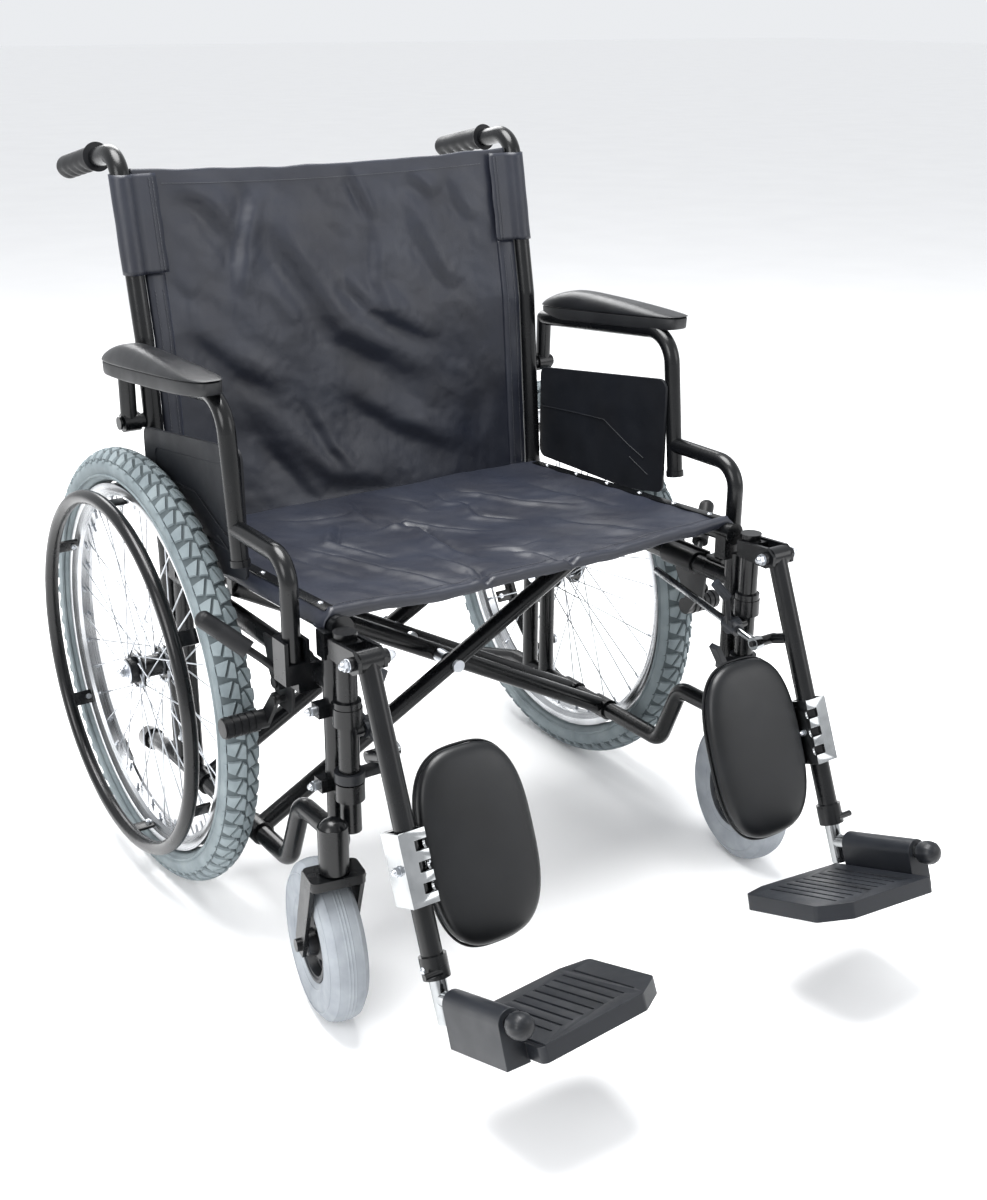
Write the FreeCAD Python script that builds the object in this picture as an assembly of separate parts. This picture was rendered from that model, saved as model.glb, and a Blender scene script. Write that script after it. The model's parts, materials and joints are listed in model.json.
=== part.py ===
"""Folding manual wheelchair: 24-inch rear wheels, 8-inch casters, elevating legrests.

Millimetres.  +Z is up, the user faces -Y, and the user's left-hand side is +X.
Sub-parts are drawn for the +X side, with the rear axle at y = 0, and mirrored for the other.
The last step moves everything along Y so that the origin is the middle of the footprint.
"""
import FreeCAD, Part
import math
import os

V = FreeCAD.Vector

# ---- driving dimensions ----------------------------------------------------
CENTRE_SHIFT = 269.0        # rear axle's distance behind the middle of the footprint
CLEAR = 0.3                 # air between curved faces on different bodies
RUNNING = 0.05              # radial clearance of a shaft in its bearing

TUBE_R = 12.5               # frame tubing, 25 mm outside
POST_R = 12.0               # upright posts between the rails
FRAME_X = 307.0             # plane of each side frame
UPPER_RAIL_Z = 432.0
LOWER_RAIL_Z = 136.0
HUMP_Z = 232.0              # lower rail where it rises over the caster
COLLAR_Z = (402.0, 307.0)   # collars on the front post that carry the legrest hanger
FRONT_POST_Y = -442.0
REAR_POST_Y = -22.0
CANE_FOOT_Y = 22.0

WHEEL_X = 354.0             # rear wheel centre plane
WHEEL_R = 303.0             # 24-inch wheel with a 50 mm tyre
TYRE_WIDTH = 50.0
AXLE_R = 6.0
SPOKES = 36
HANDRIM_X = 402.5
HANDRIM_R = 243.5
HANDRIM_TUBE_R = 10.0

STEM_X = 338.0              # caster swivel axis
STEM_Y = -487.0
CASTER_R = 100.0            # 8-inch caster
CASTER_WIDTH = 50.0
CASTER_TRAIL = 42.0
CASTER_TURN = -10.0         # degrees that the casters are swivelled at rest
CASTER_AXLE_R = 5.0
STEM_R = 6.0

CROSS_Z = 301.0             # centre pivot of the cross brace
CROSS_BOLT_R = 5.0
BAR_YS_A = (-217.0, -50.0)  # bars of the brace hinged on the -X side frame
BAR_YS_B = (-172.0, -93.0)  # bars of the brace hinged on the +X side frame
SEAT_RAIL_X = 297.0
SEAT_RAIL_R = 13.0
SEAT_FRONT = (-450.0, 498.6)     # y, z of the seat rail's front end
SEAT_SLOPE = 0.056               # drop per mm towards the back
SEAT_REAR_Y = 2.0

CANE_LEAN = ((22.0, 460.0), (45.0, 743.0), (90.0, 976.0))   # y, z corners of the back cane
HANDLE_END = (276.0, 941.0)
GRIP_START_Y = 160.0
GRIP_R = 16.0

ARM_X = 338.0               # plane of the armrest tubes
ARM_TUBE_R = 11.0
ARM_PIVOT = (42.0, 636.0)   # y, z of the flip-back pivot
ARM_PIN_R = 5.0
GUARD_X = 322.5             # inner face of the skirt guard
GUARD_THICK = 4.0
PAD_X = 352.0
SOCKET_X = 338.0
SOCKET_Y = -404.0

LEG_X = 306.0               # plane of the legrest hanger and leg tube
HANGER_Y = -473.0
KNEE = (-522.0, 487.0)      # y, z of the elevation pivot
KNEE_BOLT_R = 5.0
LEG_LEAN = 22.3             # degrees from vertical at rest
LEG_LENGTH = 353.0
ROD_X = 278.0               # plane of the elevation lock rod
ROD_R = 5.0
ROD_LENGTH = 210.0
ROD_ARM = 115.0             # both ends of the lock are this far from the knee
CLAMP_ANGLE = 23.0          # direction of the clamp, degrees behind vertical
ROD_ANGLE = -1.0            # direction of the rod's pin, degrees behind vertical

PLATE_REAR = (-665.0, 134.0)     # y, z where the footplate's hinge tube leaves its post
PLATE_RISE = 20.0                # degrees
PLATE_TILT = 4.0            # the plate falls this much towards its hinge, in degrees
HINGE_TUBE_R = 9.0
HINGE_LENGTH = 158.0

BRAKE_PIVOT = (-345.0, 402.0)    # y, z of the brake lever's pin
SHOE_PIVOT = (-352.0, 382.0)
SHOE_CENTRE = (-318.0, 345.0)
SHOE_R = 13.5
BRAKE_PIN_R = 4.0


# ---- helpers ---------------------------------------------------------------
def rod(start, end, radius):
    """Round bar from one point to another."""
    return Part.makeCylinder(radius, (end - start).Length, start, end - start)


def ring(start, end, outer, inner):
    """Sleeve or washer with its bore along start-end."""
    reach = (end - start).normalize() * 1.0
    return rod(start, end, outer).cut(rod(start - reach, end + reach, inner))


def block(low, high):
    """Box between two corners."""
    return Part.makeBox(high[0] - low[0], high[1] - low[1], high[2] - low[2], V(*low))


def fuse(shapes):
    """One solid from several that overlap."""
    whole = shapes[0]
    for shape in shapes[1:]:
        whole = whole.fuse(shape)
    return whole.removeSplitter()


def bent_path(points, bend):
    """Straight runs between the points, with a tangent arc at each corner."""
    edges = []
    here = points[0]
    for before, corner, after in zip(points, points[1:], points[2:]):
        back = (before - corner).normalize()
        onward = (after - corner).normalize()
        half = back.getAngle(onward) / 2
        inset = bend / math.tan(half)
        start = corner + back * inset
        end = corner + onward * inset
        inward = (back + onward).normalize()
        middle = corner + inward * (bend / math.sin(half) - bend)
        edges.append(Part.LineSegment(here, start).toShape())
        edges.append(Part.Arc(start, middle, end).toShape())
        here = end
    edges.append(Part.LineSegment(here, points[-1]).toShape())
    return Part.Wire(edges)


def bent_rod(points, radius, bend):
    """Round bar that follows the points with rounded corners."""
    section = Part.Wire(Part.makeCircle(radius, points[0], points[1] - points[0]))
    return bent_path(points, bend).makePipeShell([section], True, False)


def plate_yz(x, thick, outline):
    """Flat plate in a YZ plane from a list of y, z corners."""
    corners = [V(x, y, z) for y, z in outline]
    face = Part.Face(Part.makePolygon(corners + corners[:1]))
    return face.extrude(V(thick, 0, 0))


def plate_xz(y, thick, outline):
    """Flat plate in an XZ plane from a list of x, z corners."""
    corners = [V(x, y, z) for x, z in outline]
    face = Part.Face(Part.makePolygon(corners + corners[:1]))
    return face.extrude(V(0, thick, 0))


def spun(x, outline, centre_y, centre_z):
    """Ring about an axis along X, from a list of (x offset, radius) corners."""
    corners = [V(x + across, centre_y, centre_z + radius) for across, radius in outline]
    face = Part.Face(Part.makePolygon(corners + corners[:1]))
    return face.revolve(V(x, centre_y, centre_z), V(1, 0, 0), 360)


def rounded(shape, radius, wanted):
    """Shape with the wanted edges rounded."""
    edges = [edge for edge in shape.Edges if wanted(edge)]
    return shape.makeFillet(radius, edges)


def along_x(edge):
    """True for a straight edge that runs along X."""
    step = edge.lastVertex().Point - edge.firstVertex().Point
    return abs(step.x) > 0.99 * step.Length


def mirrored(shape):
    """The same piece for the other side."""
    return shape.mirror(V(0, 0, 0), V(1, 0, 0))


def seat_rail_z(y):
    """Height of the seat rail's axis at y."""
    return SEAT_FRONT[1] - SEAT_SLOPE * (y - SEAT_FRONT[0])


def cane_y(z):
    """Position of the back cane's axis at height z, above the seat."""
    low, high = CANE_LEAN[:2] if z < CANE_LEAN[1][1] else CANE_LEAN[1:]
    share = (z - low[1]) / (high[1] - low[1])
    return low[0] + share * (high[0] - low[0])


def polar(centre, distance, degrees):
    """y, z of a point below a centre, turned towards the back by an angle from vertical."""
    angle = math.radians(degrees)
    return (centre[0] + distance * math.sin(angle), centre[1] - distance * math.cos(angle))


# ---- side frame ------------------------------------------------------------
HOUSING_R = 18.0
HOUSING_Z = (218.0, 276.0)
CANE_TOP_BEND = 34.0


def back_cane():
    """Rear post, back post and handle, one bent tube, with the armrest's hinge pin."""
    points = [V(FRAME_X, CANE_FOOT_Y, LOWER_RAIL_Z + 4)]
    points += [V(FRAME_X, y, z) for y, z in CANE_LEAN]
    points.append(V(FRAME_X, *HANDLE_END))
    tube = bent_rod(points, TUBE_R, CANE_TOP_BEND)
    y, z = ARM_PIVOT
    pin = rod(V(FRAME_X, y, z), V(ARM_X + 12, y, z), ARM_PIN_R)
    head = rod(V(ARM_X + 12, y, z), V(ARM_X + 15, y, z), 9)
    boss = rod(V(FRAME_X, y, z), V(ARM_X - 13.5, y, z), 10)
    return fuse([tube, pin, head, boss])


def push_grip():
    """Moulded handle grip with finger grooves, pushed over the end of the cane."""
    (y0, z0), (y1, z1) = CANE_LEAN[-1], HANDLE_END
    slope = (z1 - z0) / (y1 - y0)
    start = V(FRAME_X, GRIP_START_Y, z0 + slope * (GRIP_START_Y - y0))
    end = V(FRAME_X, y1, z1)
    way = (end - start).normalize()
    grip = rod(start, end + way * 5, GRIP_R)
    flange = rod(start, start + way * 5, GRIP_R + 3)
    whole = fuse([grip, flange])
    drop = V(0, 0, -GRIP_R - 5)
    for step in range(4):
        middle = start + way * (22 + 22 * step) + drop
        whole = whole.cut(rod(middle - V(25, 0, 0), middle + V(25, 0, 0), 9))
    return whole.cut(rod(start - way, end, TUBE_R))


def caster_housing():
    """Upright bearing tube for the caster's stem, with a domed cap."""
    low, high = HOUSING_Z
    body = rod(V(STEM_X, STEM_Y, low), V(STEM_X, STEM_Y, high), HOUSING_R)
    dome = Part.makeSphere(HOUSING_R, V(STEM_X, STEM_Y, high - 8))
    above = block((STEM_X - 30, STEM_Y - 30, high - 8), (STEM_X + 30, STEM_Y + 30, high + 30))
    return fuse([body, dome.common(above)])


def seat_saddle(y, low):
    """Cradle on the side frame that the seat rail drops into."""
    top = seat_rail_z(y) - 2
    seat = block((SEAT_RAIL_X - 14, y - 7, low), (FRAME_X + TUBE_R, y + 13, top))
    rail = rod(seat_rail_point(y - 40), seat_rail_point(y + 40), SEAT_RAIL_R + CLEAR + 0.2)
    return seat.cut(rail)


def seat_rail_point(y):
    """Point on the seat rail's axis."""
    return V(SEAT_RAIL_X, y, seat_rail_z(y))


def hanger_collar(z):
    """Bearing collar that holds the legrest hanger to the front post."""
    outer = rod(V(LEG_X, HANGER_Y, z - 11), V(LEG_X, HANGER_Y, z + 11), 17.5)
    web = block((LEG_X - 9, HANGER_Y, z - 11), (LEG_X + 9, FRONT_POST_Y, z + 11))
    lug = block((FRAME_X, FRONT_POST_Y - 9, z - 8), (FRAME_X + 24, FRONT_POST_Y + 9, z + 8))
    return fuse([outer, web, lug])


def arm_socket():
    """Cup on the upper rail for the armrest's front tube, open to the front."""
    low = UPPER_RAIL_Z - TUBE_R
    cup = block((SOCKET_X - 16, SOCKET_Y - 14, low + 8), (SOCKET_X + 16, SOCKET_Y + 16, 480))
    band = block((FRAME_X, SOCKET_Y - 14, low - 3), (SOCKET_X, SOCKET_Y + 16, low + 30))
    hole = rod(V(SOCKET_X, SOCKET_Y, 452), V(SOCKET_X, SOCKET_Y, 490), ARM_TUBE_R + CLEAR)
    mouth_half = ARM_TUBE_R + CLEAR
    mouth = block(
        (SOCKET_X - mouth_half, SOCKET_Y - 40, 452), (SOCKET_X + mouth_half, SOCKET_Y, 490)
    )
    return fuse([cup, band]).cut(hole).cut(mouth)


def axle_plate():
    """Plate between the two rear posts that takes the rear axle."""
    z = WHEEL_R
    return block((FRAME_X - 6, REAR_POST_Y, z - 45), (FRAME_X + 6, CANE_FOOT_Y, z + 45))


def side_frame():
    """Welded side frame: rails, posts, caster housing, collars, saddles and tipping lever."""
    upper = rod(
        V(FRAME_X, FRONT_POST_Y, UPPER_RAIL_Z), V(FRAME_X, CANE_FOOT_Y, UPPER_RAIL_Z), TUBE_R
    )
    lower = bent_rod(
        [
            V(STEM_X, STEM_Y, HUMP_Z),
            V(FRAME_X, FRONT_POST_Y - 5, HUMP_Z),
            V(FRAME_X, -349, HUMP_Z),
            V(FRAME_X, -308, LOWER_RAIL_Z),
            V(FRAME_X, 62, LOWER_RAIL_Z),
            V(FRAME_X - 12, 170, 108),
        ],
        TUBE_R,
        22,
    )
    front = rod(V(FRAME_X, FRONT_POST_Y, HUMP_Z + 3), V(FRAME_X, FRONT_POST_Y, 470), POST_R)
    post_foot = V(FRAME_X, REAR_POST_Y, LOWER_RAIL_Z + 3)
    rear = rod(post_foot, V(FRAME_X, REAR_POST_Y, UPPER_RAIL_Z - 3), POST_R)
    foot = V(FRAME_X - 12, 170, 108)
    lean = (foot - V(FRAME_X, 62, LOWER_RAIL_Z)).normalize()
    tip = rod(foot - lean * 14, foot + lean * 18, TUBE_R + 4)
    pieces = [upper, lower, front, rear, tip, caster_housing(), axle_plate(), arm_socket()]
    pieces += [hanger_collar(z) for z in COLLAR_Z]
    pieces.append(seat_saddle(FRONT_POST_Y, 464))
    pieces.append(seat_saddle(REAR_POST_Y, UPPER_RAIL_Z))
    whole = fuse(pieces)
    low, high = HOUSING_Z
    stem_bore = rod(V(STEM_X, STEM_Y, low - 1), V(STEM_X, STEM_Y, high - 5), STEM_R + RUNNING)
    hanger_bore = rod(V(LEG_X, HANGER_Y, 248), V(LEG_X, HANGER_Y, 500), TUBE_R + RUNNING)
    axle_bore = rod(V(FRAME_X - 20, 0, WHEEL_R), V(FRAME_X + 20, 0, WHEEL_R), AXLE_R)
    return whole.cut(stem_bore).cut(hanger_bore).cut(axle_bore).cut(back_cane())


def bolt_head(centre, radius, depth):
    """Low round head that faces outwards."""
    return rod(centre, centre + V(depth, 0, 0), radius)


def fasteners():
    """Rear axle with its nut, and the bolt heads on the side frame."""
    z = WHEEL_R
    axle = rod(V(FRAME_X - 10, 0, z), V(387, 0, z), AXLE_R)
    nut = rod(V(FRAME_X - 16, 0, z), V(FRAME_X - 6, 0, z), 11)
    cap = rod(V(386, 0, z), V(390, 0, z), 10)
    pieces = [fuse([axle, nut, cap])]
    for height in COLLAR_Z:
        pieces.append(bolt_head(V(FRAME_X + 24, FRONT_POST_Y, height), 6, 5))
    pieces.append(bolt_head(V(FRAME_X + TUBE_R - 0.5, REAR_POST_Y, 195), 8, 5))
    return pieces[0], pieces[1:]


# ---- rear wheel ------------------------------------------------------------
RIM_OUTER_R = 257.0
RIM_INNER_R = 238.0
FLANGE_R = 27.0
FLANGE_OFFSETS = (-20.0, 18.0)
SPOKE_R = 1.0
SPOKE_HOLE_R = 22.0


def rear_tyre():
    """Pneumatic tyre, round in section, seated on the rim."""
    half = TYRE_WIDTH / 2
    torus = Part.makeTorus(WHEEL_R - half, half, V(WHEEL_X, 0, WHEEL_R), V(1, 0, 0))
    inside = rod(V(WHEEL_X - 40, 0, WHEEL_R), V(WHEEL_X + 40, 0, WHEEL_R), RIM_OUTER_R)
    return torus.cut(inside)


def rear_rim():
    """Alloy rim: two side walls and a sloping spoke bed."""
    outline = [(-16, RIM_OUTER_R), (16, RIM_OUTER_R), (16, 245), (9, RIM_INNER_R)]
    outline += [(-9, RIM_INNER_R), (-16, 245)]
    return spun(WHEEL_X, outline, 0, WHEEL_R)


def rear_hub():
    """Hub shell with two spoke flanges and an end cap, bored for the axle."""
    inner, outer = FLANGE_OFFSETS
    outline = [(-24, AXLE_R + RUNNING), (-24, 14), (inner - 2, 14), (inner - 2, FLANGE_R)]
    outline += [(inner + 2, FLANGE_R), (inner + 2, 15), (outer - 2, 15), (outer - 2, FLANGE_R)]
    outline += [(outer + 2, FLANGE_R), (outer + 2, 18), (31.5, 18), (31.5, AXLE_R + RUNNING)]
    return spun(WHEEL_X, outline, 0, WHEEL_R)


def spokes():
    """Crossed wire spokes, half of them to each flange."""
    pieces = []
    for index in range(SPOKES):
        flange = FLANGE_OFFSETS[index % 2]
        leading = 1 if index % 4 < 2 else -1
        rim_angle = math.radians(index * 360 / SPOKES)
        hub_angle = rim_angle + leading * math.radians(62)
        outside = leading * flange > 0
        across = flange + leading * (4.6 if outside else 3.4)
        start = V(
            WHEEL_X + across,
            SPOKE_HOLE_R * math.sin(hub_angle),
            WHEEL_R + SPOKE_HOLE_R * math.cos(hub_angle),
        )
        end = V(
            WHEEL_X + (3 if flange > 0 else -3),
            RIM_INNER_R * math.sin(rim_angle),
            WHEEL_R + RIM_INNER_R * math.cos(rim_angle),
        )
        pieces.append(rod(start, end, SPOKE_R))
    return pieces


def handrim():
    """Push ring with the tabs that hold it to the rim."""
    hoop = Part.makeTorus(HANDRIM_R, HANDRIM_TUBE_R, V(HANDRIM_X, 0, WHEEL_R), V(1, 0, 0))
    pieces = [hoop]
    for index in range(6):
        angle = math.radians(30 + 60 * index)
        near = V(0, math.sin(angle), math.cos(angle))
        side = V(0, math.cos(angle), -math.sin(angle))
        centre = V(0, 0, WHEEL_R) + near * HANDRIM_R
        inner = V(WHEEL_X + 16, 0, 0) + centre
        outer = V(HANDRIM_X, 0, 0) + centre
        tab = Part.makeBox(outer.x - inner.x, 22, 4, V(0, -11, -2))
        turn = FreeCAD.Matrix(
            1, 0, 0, inner.x, 0, side.y, near.y, inner.y, 0, side.z, near.z, inner.z, 0, 0, 0, 1
        )
        pieces.append(tab.transformGeometry(turn))
    return fuse(pieces)


# ---- caster ----------------------------------------------------------------
CROWN_Z = (204.0, 216.0)
FORK_GAP = 28.5
CASTER_HUB_R = 50.0
FORK_THICK = 5.0


def caster_fork():
    """Crown, stem and two trailing legs."""
    low, high = CROWN_Z
    axle_y = STEM_Y + CASTER_TRAIL
    crown = block(
        (STEM_X - FORK_GAP - FORK_THICK, STEM_Y - 20, low),
        (STEM_X + FORK_GAP + FORK_THICK, STEM_Y + 22, high),
    )
    crown = rounded(crown, 8, lambda e: abs(e.Length - (high - low)) < 0.01)
    stem = rod(V(STEM_X, STEM_Y, low + 2), V(STEM_X, STEM_Y, HOUSING_Z[1] - 7), STEM_R)
    pieces = [crown, stem]
    leg = [(STEM_Y - 16, high - 2), (STEM_Y + 20, high - 2), (axle_y + 15, CASTER_R + 4)]
    leg += [(axle_y + 9, CASTER_R - 13), (axle_y - 9, CASTER_R - 13), (axle_y - 15, CASTER_R + 4)]
    for x in (STEM_X - FORK_GAP - FORK_THICK, STEM_X + FORK_GAP):
        pieces.append(plate_yz(x, FORK_THICK, leg))
    reach = FORK_GAP + FORK_THICK
    axle = V(STEM_X, axle_y, CASTER_R)
    pieces.append(rod(axle - V(reach + 1, 0, 0), axle + V(reach + 1, 0, 0), CASTER_AXLE_R))
    pieces.append(rod(axle - V(reach + 5, 0, 0), axle - V(reach, 0, 0), 8))
    pieces.append(rod(axle + V(reach, 0, 0), axle + V(reach + 5, 0, 0), 8))
    return fuse(pieces)


def caster_tyre():
    """Thick solid tyre with bulging side walls."""
    outline = [(-19, CASTER_HUB_R), (-22.5, 57), (-25, 68), (-25, 79), (-22, 90)]
    outline += [(-16, 96.5), (-8, CASTER_R - 0.6), (0, CASTER_R)]
    outline += [(-across, radius) for across, radius in reversed(outline[:-1])]
    return spun(STEM_X, outline, STEM_Y + CASTER_TRAIL, CASTER_R)


def caster_hub():
    """Moulded wheel centre: a dished disc with openings between five broad spokes."""
    axle_y = STEM_Y + CASTER_TRAIL
    bore = CASTER_AXLE_R + RUNNING
    outline = [(-26, bore), (-26, 15), (-15, 17), (-9, 38), (-19, 42), (-19, CASTER_HUB_R)]
    outline += [(-across, radius) for across, radius in reversed(outline)]
    hub = spun(STEM_X, outline, axle_y, CASTER_R)
    for index in range(5):
        hole = rod(V(STEM_X - 30, axle_y, CASTER_R + 29), V(STEM_X + 30, axle_y, CASTER_R + 29), 7)
        hole.rotate(V(STEM_X, axle_y, CASTER_R), V(1, 0, 0), 72 * index)
        hub = hub.cut(hole)
    return hub


# ---- cross brace and seat --------------------------------------------------
SLEEVE_R = 16.0
SLEEVE_HALF = 16.0


def brace(bar_ys, bolt_radius):
    """Two bars from a sleeve round the -X lower rail up to the +X seat rail."""
    foot_x = -FRAME_X
    rise = (CROSS_Z - LOWER_RAIL_Z) / FRAME_X
    top_x = SEAT_RAIL_X + 4
    top_z = CROSS_Z + rise * top_x
    pieces = [rod(seat_rail_point(SEAT_FRONT[0]), seat_rail_point(SEAT_REAR_Y), SEAT_RAIL_R)]
    cap_front = SEAT_FRONT[0] - 2
    pieces.append(
        rod(seat_rail_point(cap_front), seat_rail_point(cap_front + 2.6), SEAT_RAIL_R + 1.5)
    )
    for y in bar_ys:
        pieces.append(rod(V(foot_x, y, LOWER_RAIL_Z), V(top_x, y, top_z), TUBE_R))
        low = V(foot_x, y - SLEEVE_HALF, LOWER_RAIL_Z)
        high = V(foot_x, y + SLEEVE_HALF, LOWER_RAIL_Z)
        pieces.append(rod(low, high, SLEEVE_R))
        web_low = (SEAT_RAIL_X - 11, y - 7, top_z - 8)
        pieces.append(block(web_low, (SEAT_RAIL_X + 9, y + 7, seat_rail_z(y))))
    whole = fuse(pieces)
    for y in bar_ys:
        low = V(foot_x, y - SLEEVE_HALF - 1, LOWER_RAIL_Z)
        high = V(foot_x, y + SLEEVE_HALF + 1, LOWER_RAIL_Z)
        whole = whole.cut(rod(low, high, TUBE_R + RUNNING))
        whole = whole.cut(rod(V(0, y - 15, CROSS_Z), V(0, y + 15, CROSS_Z), bolt_radius))
    return whole


def pivot_bolts():
    """The two bolts the braces turn on, each with a head, a spacer and a nut."""
    pieces = []
    for outer_y, inner_y in zip(BAR_YS_A, BAR_YS_B):
        way = 1 if inner_y > outer_y else -1
        head_y = outer_y - way * (TUBE_R + 1)
        nut_y = inner_y + way * (TUBE_R + 1)
        shank = rod(V(0, head_y, CROSS_Z), V(0, nut_y, CROSS_Z), CROSS_BOLT_R)
        head = rod(V(0, head_y - way * 5, CROSS_Z), V(0, head_y, CROSS_Z), 9)
        nut = rod(V(0, nut_y, CROSS_Z), V(0, nut_y + way * 6, CROSS_Z), 9)
        low = outer_y + way * (TUBE_R + 0.5)
        high = inner_y - way * (TUBE_R + 0.5)
        spacer = rod(V(0, low, CROSS_Z), V(0, high, CROSS_Z), 10)
        pieces.append(fuse([shank, head, nut, spacer]))
    return pieces


def seat_sling():
    """Flat sling laid over both seat rails."""
    front, rear, half, thick = -430.0, SEAT_REAR_Y + 4, 305.0, 3.0
    lift = SEAT_RAIL_R + 2 + 0.5
    outline = [(front, seat_rail_z(front) + lift), (rear, seat_rail_z(rear) + lift)]
    outline += [(y, z + thick) for y, z in reversed(outline)]
    return plate_yz(-half, 2 * half, outline)


def back_sling():
    """Back panel between the canes, with a sleeve round each cane at the top."""
    heights = (489.0, CANE_LEAN[1][1], 951.0)
    half, thick = FRAME_X - TUBE_R - 1.5, 3.0
    outline = [(cane_y(z) - thick / 2, z) for z in heights]
    outline += [(y + thick, z) for y, z in reversed(outline)]
    panel = plate_yz(-half, 2 * half, outline)
    pieces = [panel]
    low = V(FRAME_X, cane_y(822), 822)
    high = V(FRAME_X, cane_y(945), 945)
    sleeve = ring(low, high, TUBE_R + 2.0, TUBE_R + CLEAR)
    pieces += [sleeve, mirrored(sleeve)]
    return fuse(pieces)


# ---- armrest ---------------------------------------------------------------
GUARD_TOP = ((26.0, 632.0), (-270.0, 669.0))     # y, z ends of the guard's top edge
GUARD_LOW_Z = (505.0, 492.0)


def armrest_tube():
    """Pad tube with its hinge eye, the front upright and the stepped front leg."""
    y, z = ARM_PIVOT
    rear_top = V(ARM_X, y - 2, pad_base_z(y - 2) - 1)
    front_top = V(ARM_X, -258, pad_base_z(-258) - 1)
    rear = rod(V(ARM_X, y, z + 2), rear_top + V(0, 0, 2), ARM_TUBE_R)
    top = bent_rod([rear_top, front_top, V(ARM_X, -279, 535)], ARM_TUBE_R, 44)
    cap = Part.makeSphere(ARM_TUBE_R, rear_top)
    step = bent_rod(
        [V(ARM_X, -275, 575), V(ARM_X, SOCKET_Y, 575), V(SOCKET_X, SOCKET_Y, 452.5)],
        ARM_TUBE_R,
        34,
    )
    foot = rod(V(ARM_X, -279, 538), V(ARM_X, -280, 530), ARM_TUBE_R + 1.5)
    eye = rod(V(ARM_X - 13, y, z), V(ARM_X + 9.5, y, z), 13)
    whole = fuse([top, cap, rear, step, foot, eye])
    pin_hole = rod(V(ARM_X - 30, y, z), V(ARM_X + 30, y, z), ARM_PIN_R + RUNNING)
    return whole.cut(pin_hole)


PAD_FRONT = (-266.0, 733.0)      # y, z of the pad's lower front corner
PAD_REAR = (52.0, 704.0)         # y, z of its lower rear corner
PAD_CROWN = ((52.0, 739.0), (-5.0, 749.0), (-225.0, 757.0), (-266.0, 752.0))
PAD_HALF = 27.5
PAD_CORNER = 20.0
PAD_ROUNDING = 9.0


def pad_base_z(y):
    """Height of the armrest pad's flat underside at y."""
    (y0, z0), (y1, z1) = PAD_FRONT, PAD_REAR
    return z0 + (z1 - z0) * (y - y0) / (y1 - y0)


def armrest_pad():
    """Padded arm top with rounded ends and a crowned upper face."""
    outline = [PAD_FRONT, PAD_REAR] + list(PAD_CROWN)
    pad = plate_yz(PAD_X - PAD_HALF, 2 * PAD_HALF, outline)
    lowest_crown = min(z for y, z in PAD_CROWN) - 1
    pad = rounded(pad, PAD_ROUNDING, lambda e: e.BoundBox.ZMin > lowest_crown)
    plan = block((PAD_X - PAD_HALF, PAD_FRONT[0], 600), (PAD_X + PAD_HALF, PAD_REAR[0], 800))
    upright = [edge for edge in plan.Edges if abs(edge.Length - 200) < 0.01]
    pad = pad.common(plan.makeFillet(PAD_CORNER, upright))
    start = V(ARM_X, PAD_FRONT[0] - 20, pad_base_z(PAD_FRONT[0] - 20) - 1)
    end = V(ARM_X, PAD_REAR[0] + 20, pad_base_z(PAD_REAR[0] + 20) - 1)
    return pad.cut(rod(start, end, ARM_TUBE_R + CLEAR))


def skirt_guard():
    """Side panel between the armrest and the seat, with a stamped recess."""
    (y1, z1), (y0, z0) = GUARD_TOP
    outline = [(y0, z0), (y0, GUARD_LOW_Z[0]), (-190, GUARD_LOW_Z[1])]
    outline += [(y1, GUARD_LOW_Z[1]), (y1, z1)]
    panel = plate_yz(GUARD_X, GUARD_THICK, outline)
    panel = rounded(panel, 14, along_x)
    recess = plate_yz(
        GUARD_X + GUARD_THICK - 1.2, 2, [(-235, 640), (-235, 530), (-10, 530), (-10, 612)]
    )
    return panel.cut(rounded(recess, 12, along_x))


# ---- brake -----------------------------------------------------------------
BRACKET_X = FRAME_X + TUBE_R + 0.5


def brake_bracket():
    """Plate clamped to the upper rail, with the pins for the lever and the shoe arm."""
    outline = [(-378, 448), (-300, 448), (-312, 402), (-335, 366), (-368, 366)]
    plate = plate_yz(BRACKET_X, 4, outline)
    clamp = ring(
        V(FRAME_X, -370, UPPER_RAIL_Z), V(FRAME_X, -308, UPPER_RAIL_Z), TUBE_R + 3, TUBE_R
    )
    side = block((FRAME_X + 11, -370, 420), (BRACKET_X + 2, -308, 444))
    whole = fuse([plate, clamp, side])
    whole = whole.cut(rod(V(FRAME_X, -400, UPPER_RAIL_Z), V(FRAME_X, -280, UPPER_RAIL_Z), TUBE_R))
    pieces = [whole]
    for (y, z), reach in ((BRAKE_PIVOT, 12.5), (SHOE_PIVOT, 18.5)):
        pieces.append(rod(V(BRACKET_X + 1, y, z), V(BRACKET_X + reach, y, z), BRAKE_PIN_R))
        pieces.append(rod(V(BRACKET_X + reach, y, z), V(BRACKET_X + reach + 3, y, z), 7))
    return fuse(pieces)


def brake_lever():
    """Flat lever with an outward-cranked handle and a rubber grip."""
    y, z = BRAKE_PIVOT
    x = BRACKET_X + 5
    outline = [(y - 11, z - 9), (y + 10, z - 9), (y + 14, z + 24), (y - 4, z + 24)]
    plate = rounded(plate_yz(x, 7, outline), 6, along_x)
    start = V(x + 3.5, y + 5, z + 14)
    knee = V(x + 16, y + 12, z + 27)
    tip = V(x + 68, y + 56, z + 74)
    handle = bent_rod([start, knee, tip], 5, 12)
    way = (tip - knee).normalize()
    grip = rod(knee + way * 22, tip, 11)
    end = Part.makeSphere(11, tip)
    whole = fuse([plate, handle, grip, end])
    return whole.cut(rod(V(x - 20, y, z), V(x + 40, y, z), BRAKE_PIN_R + RUNNING))


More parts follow.
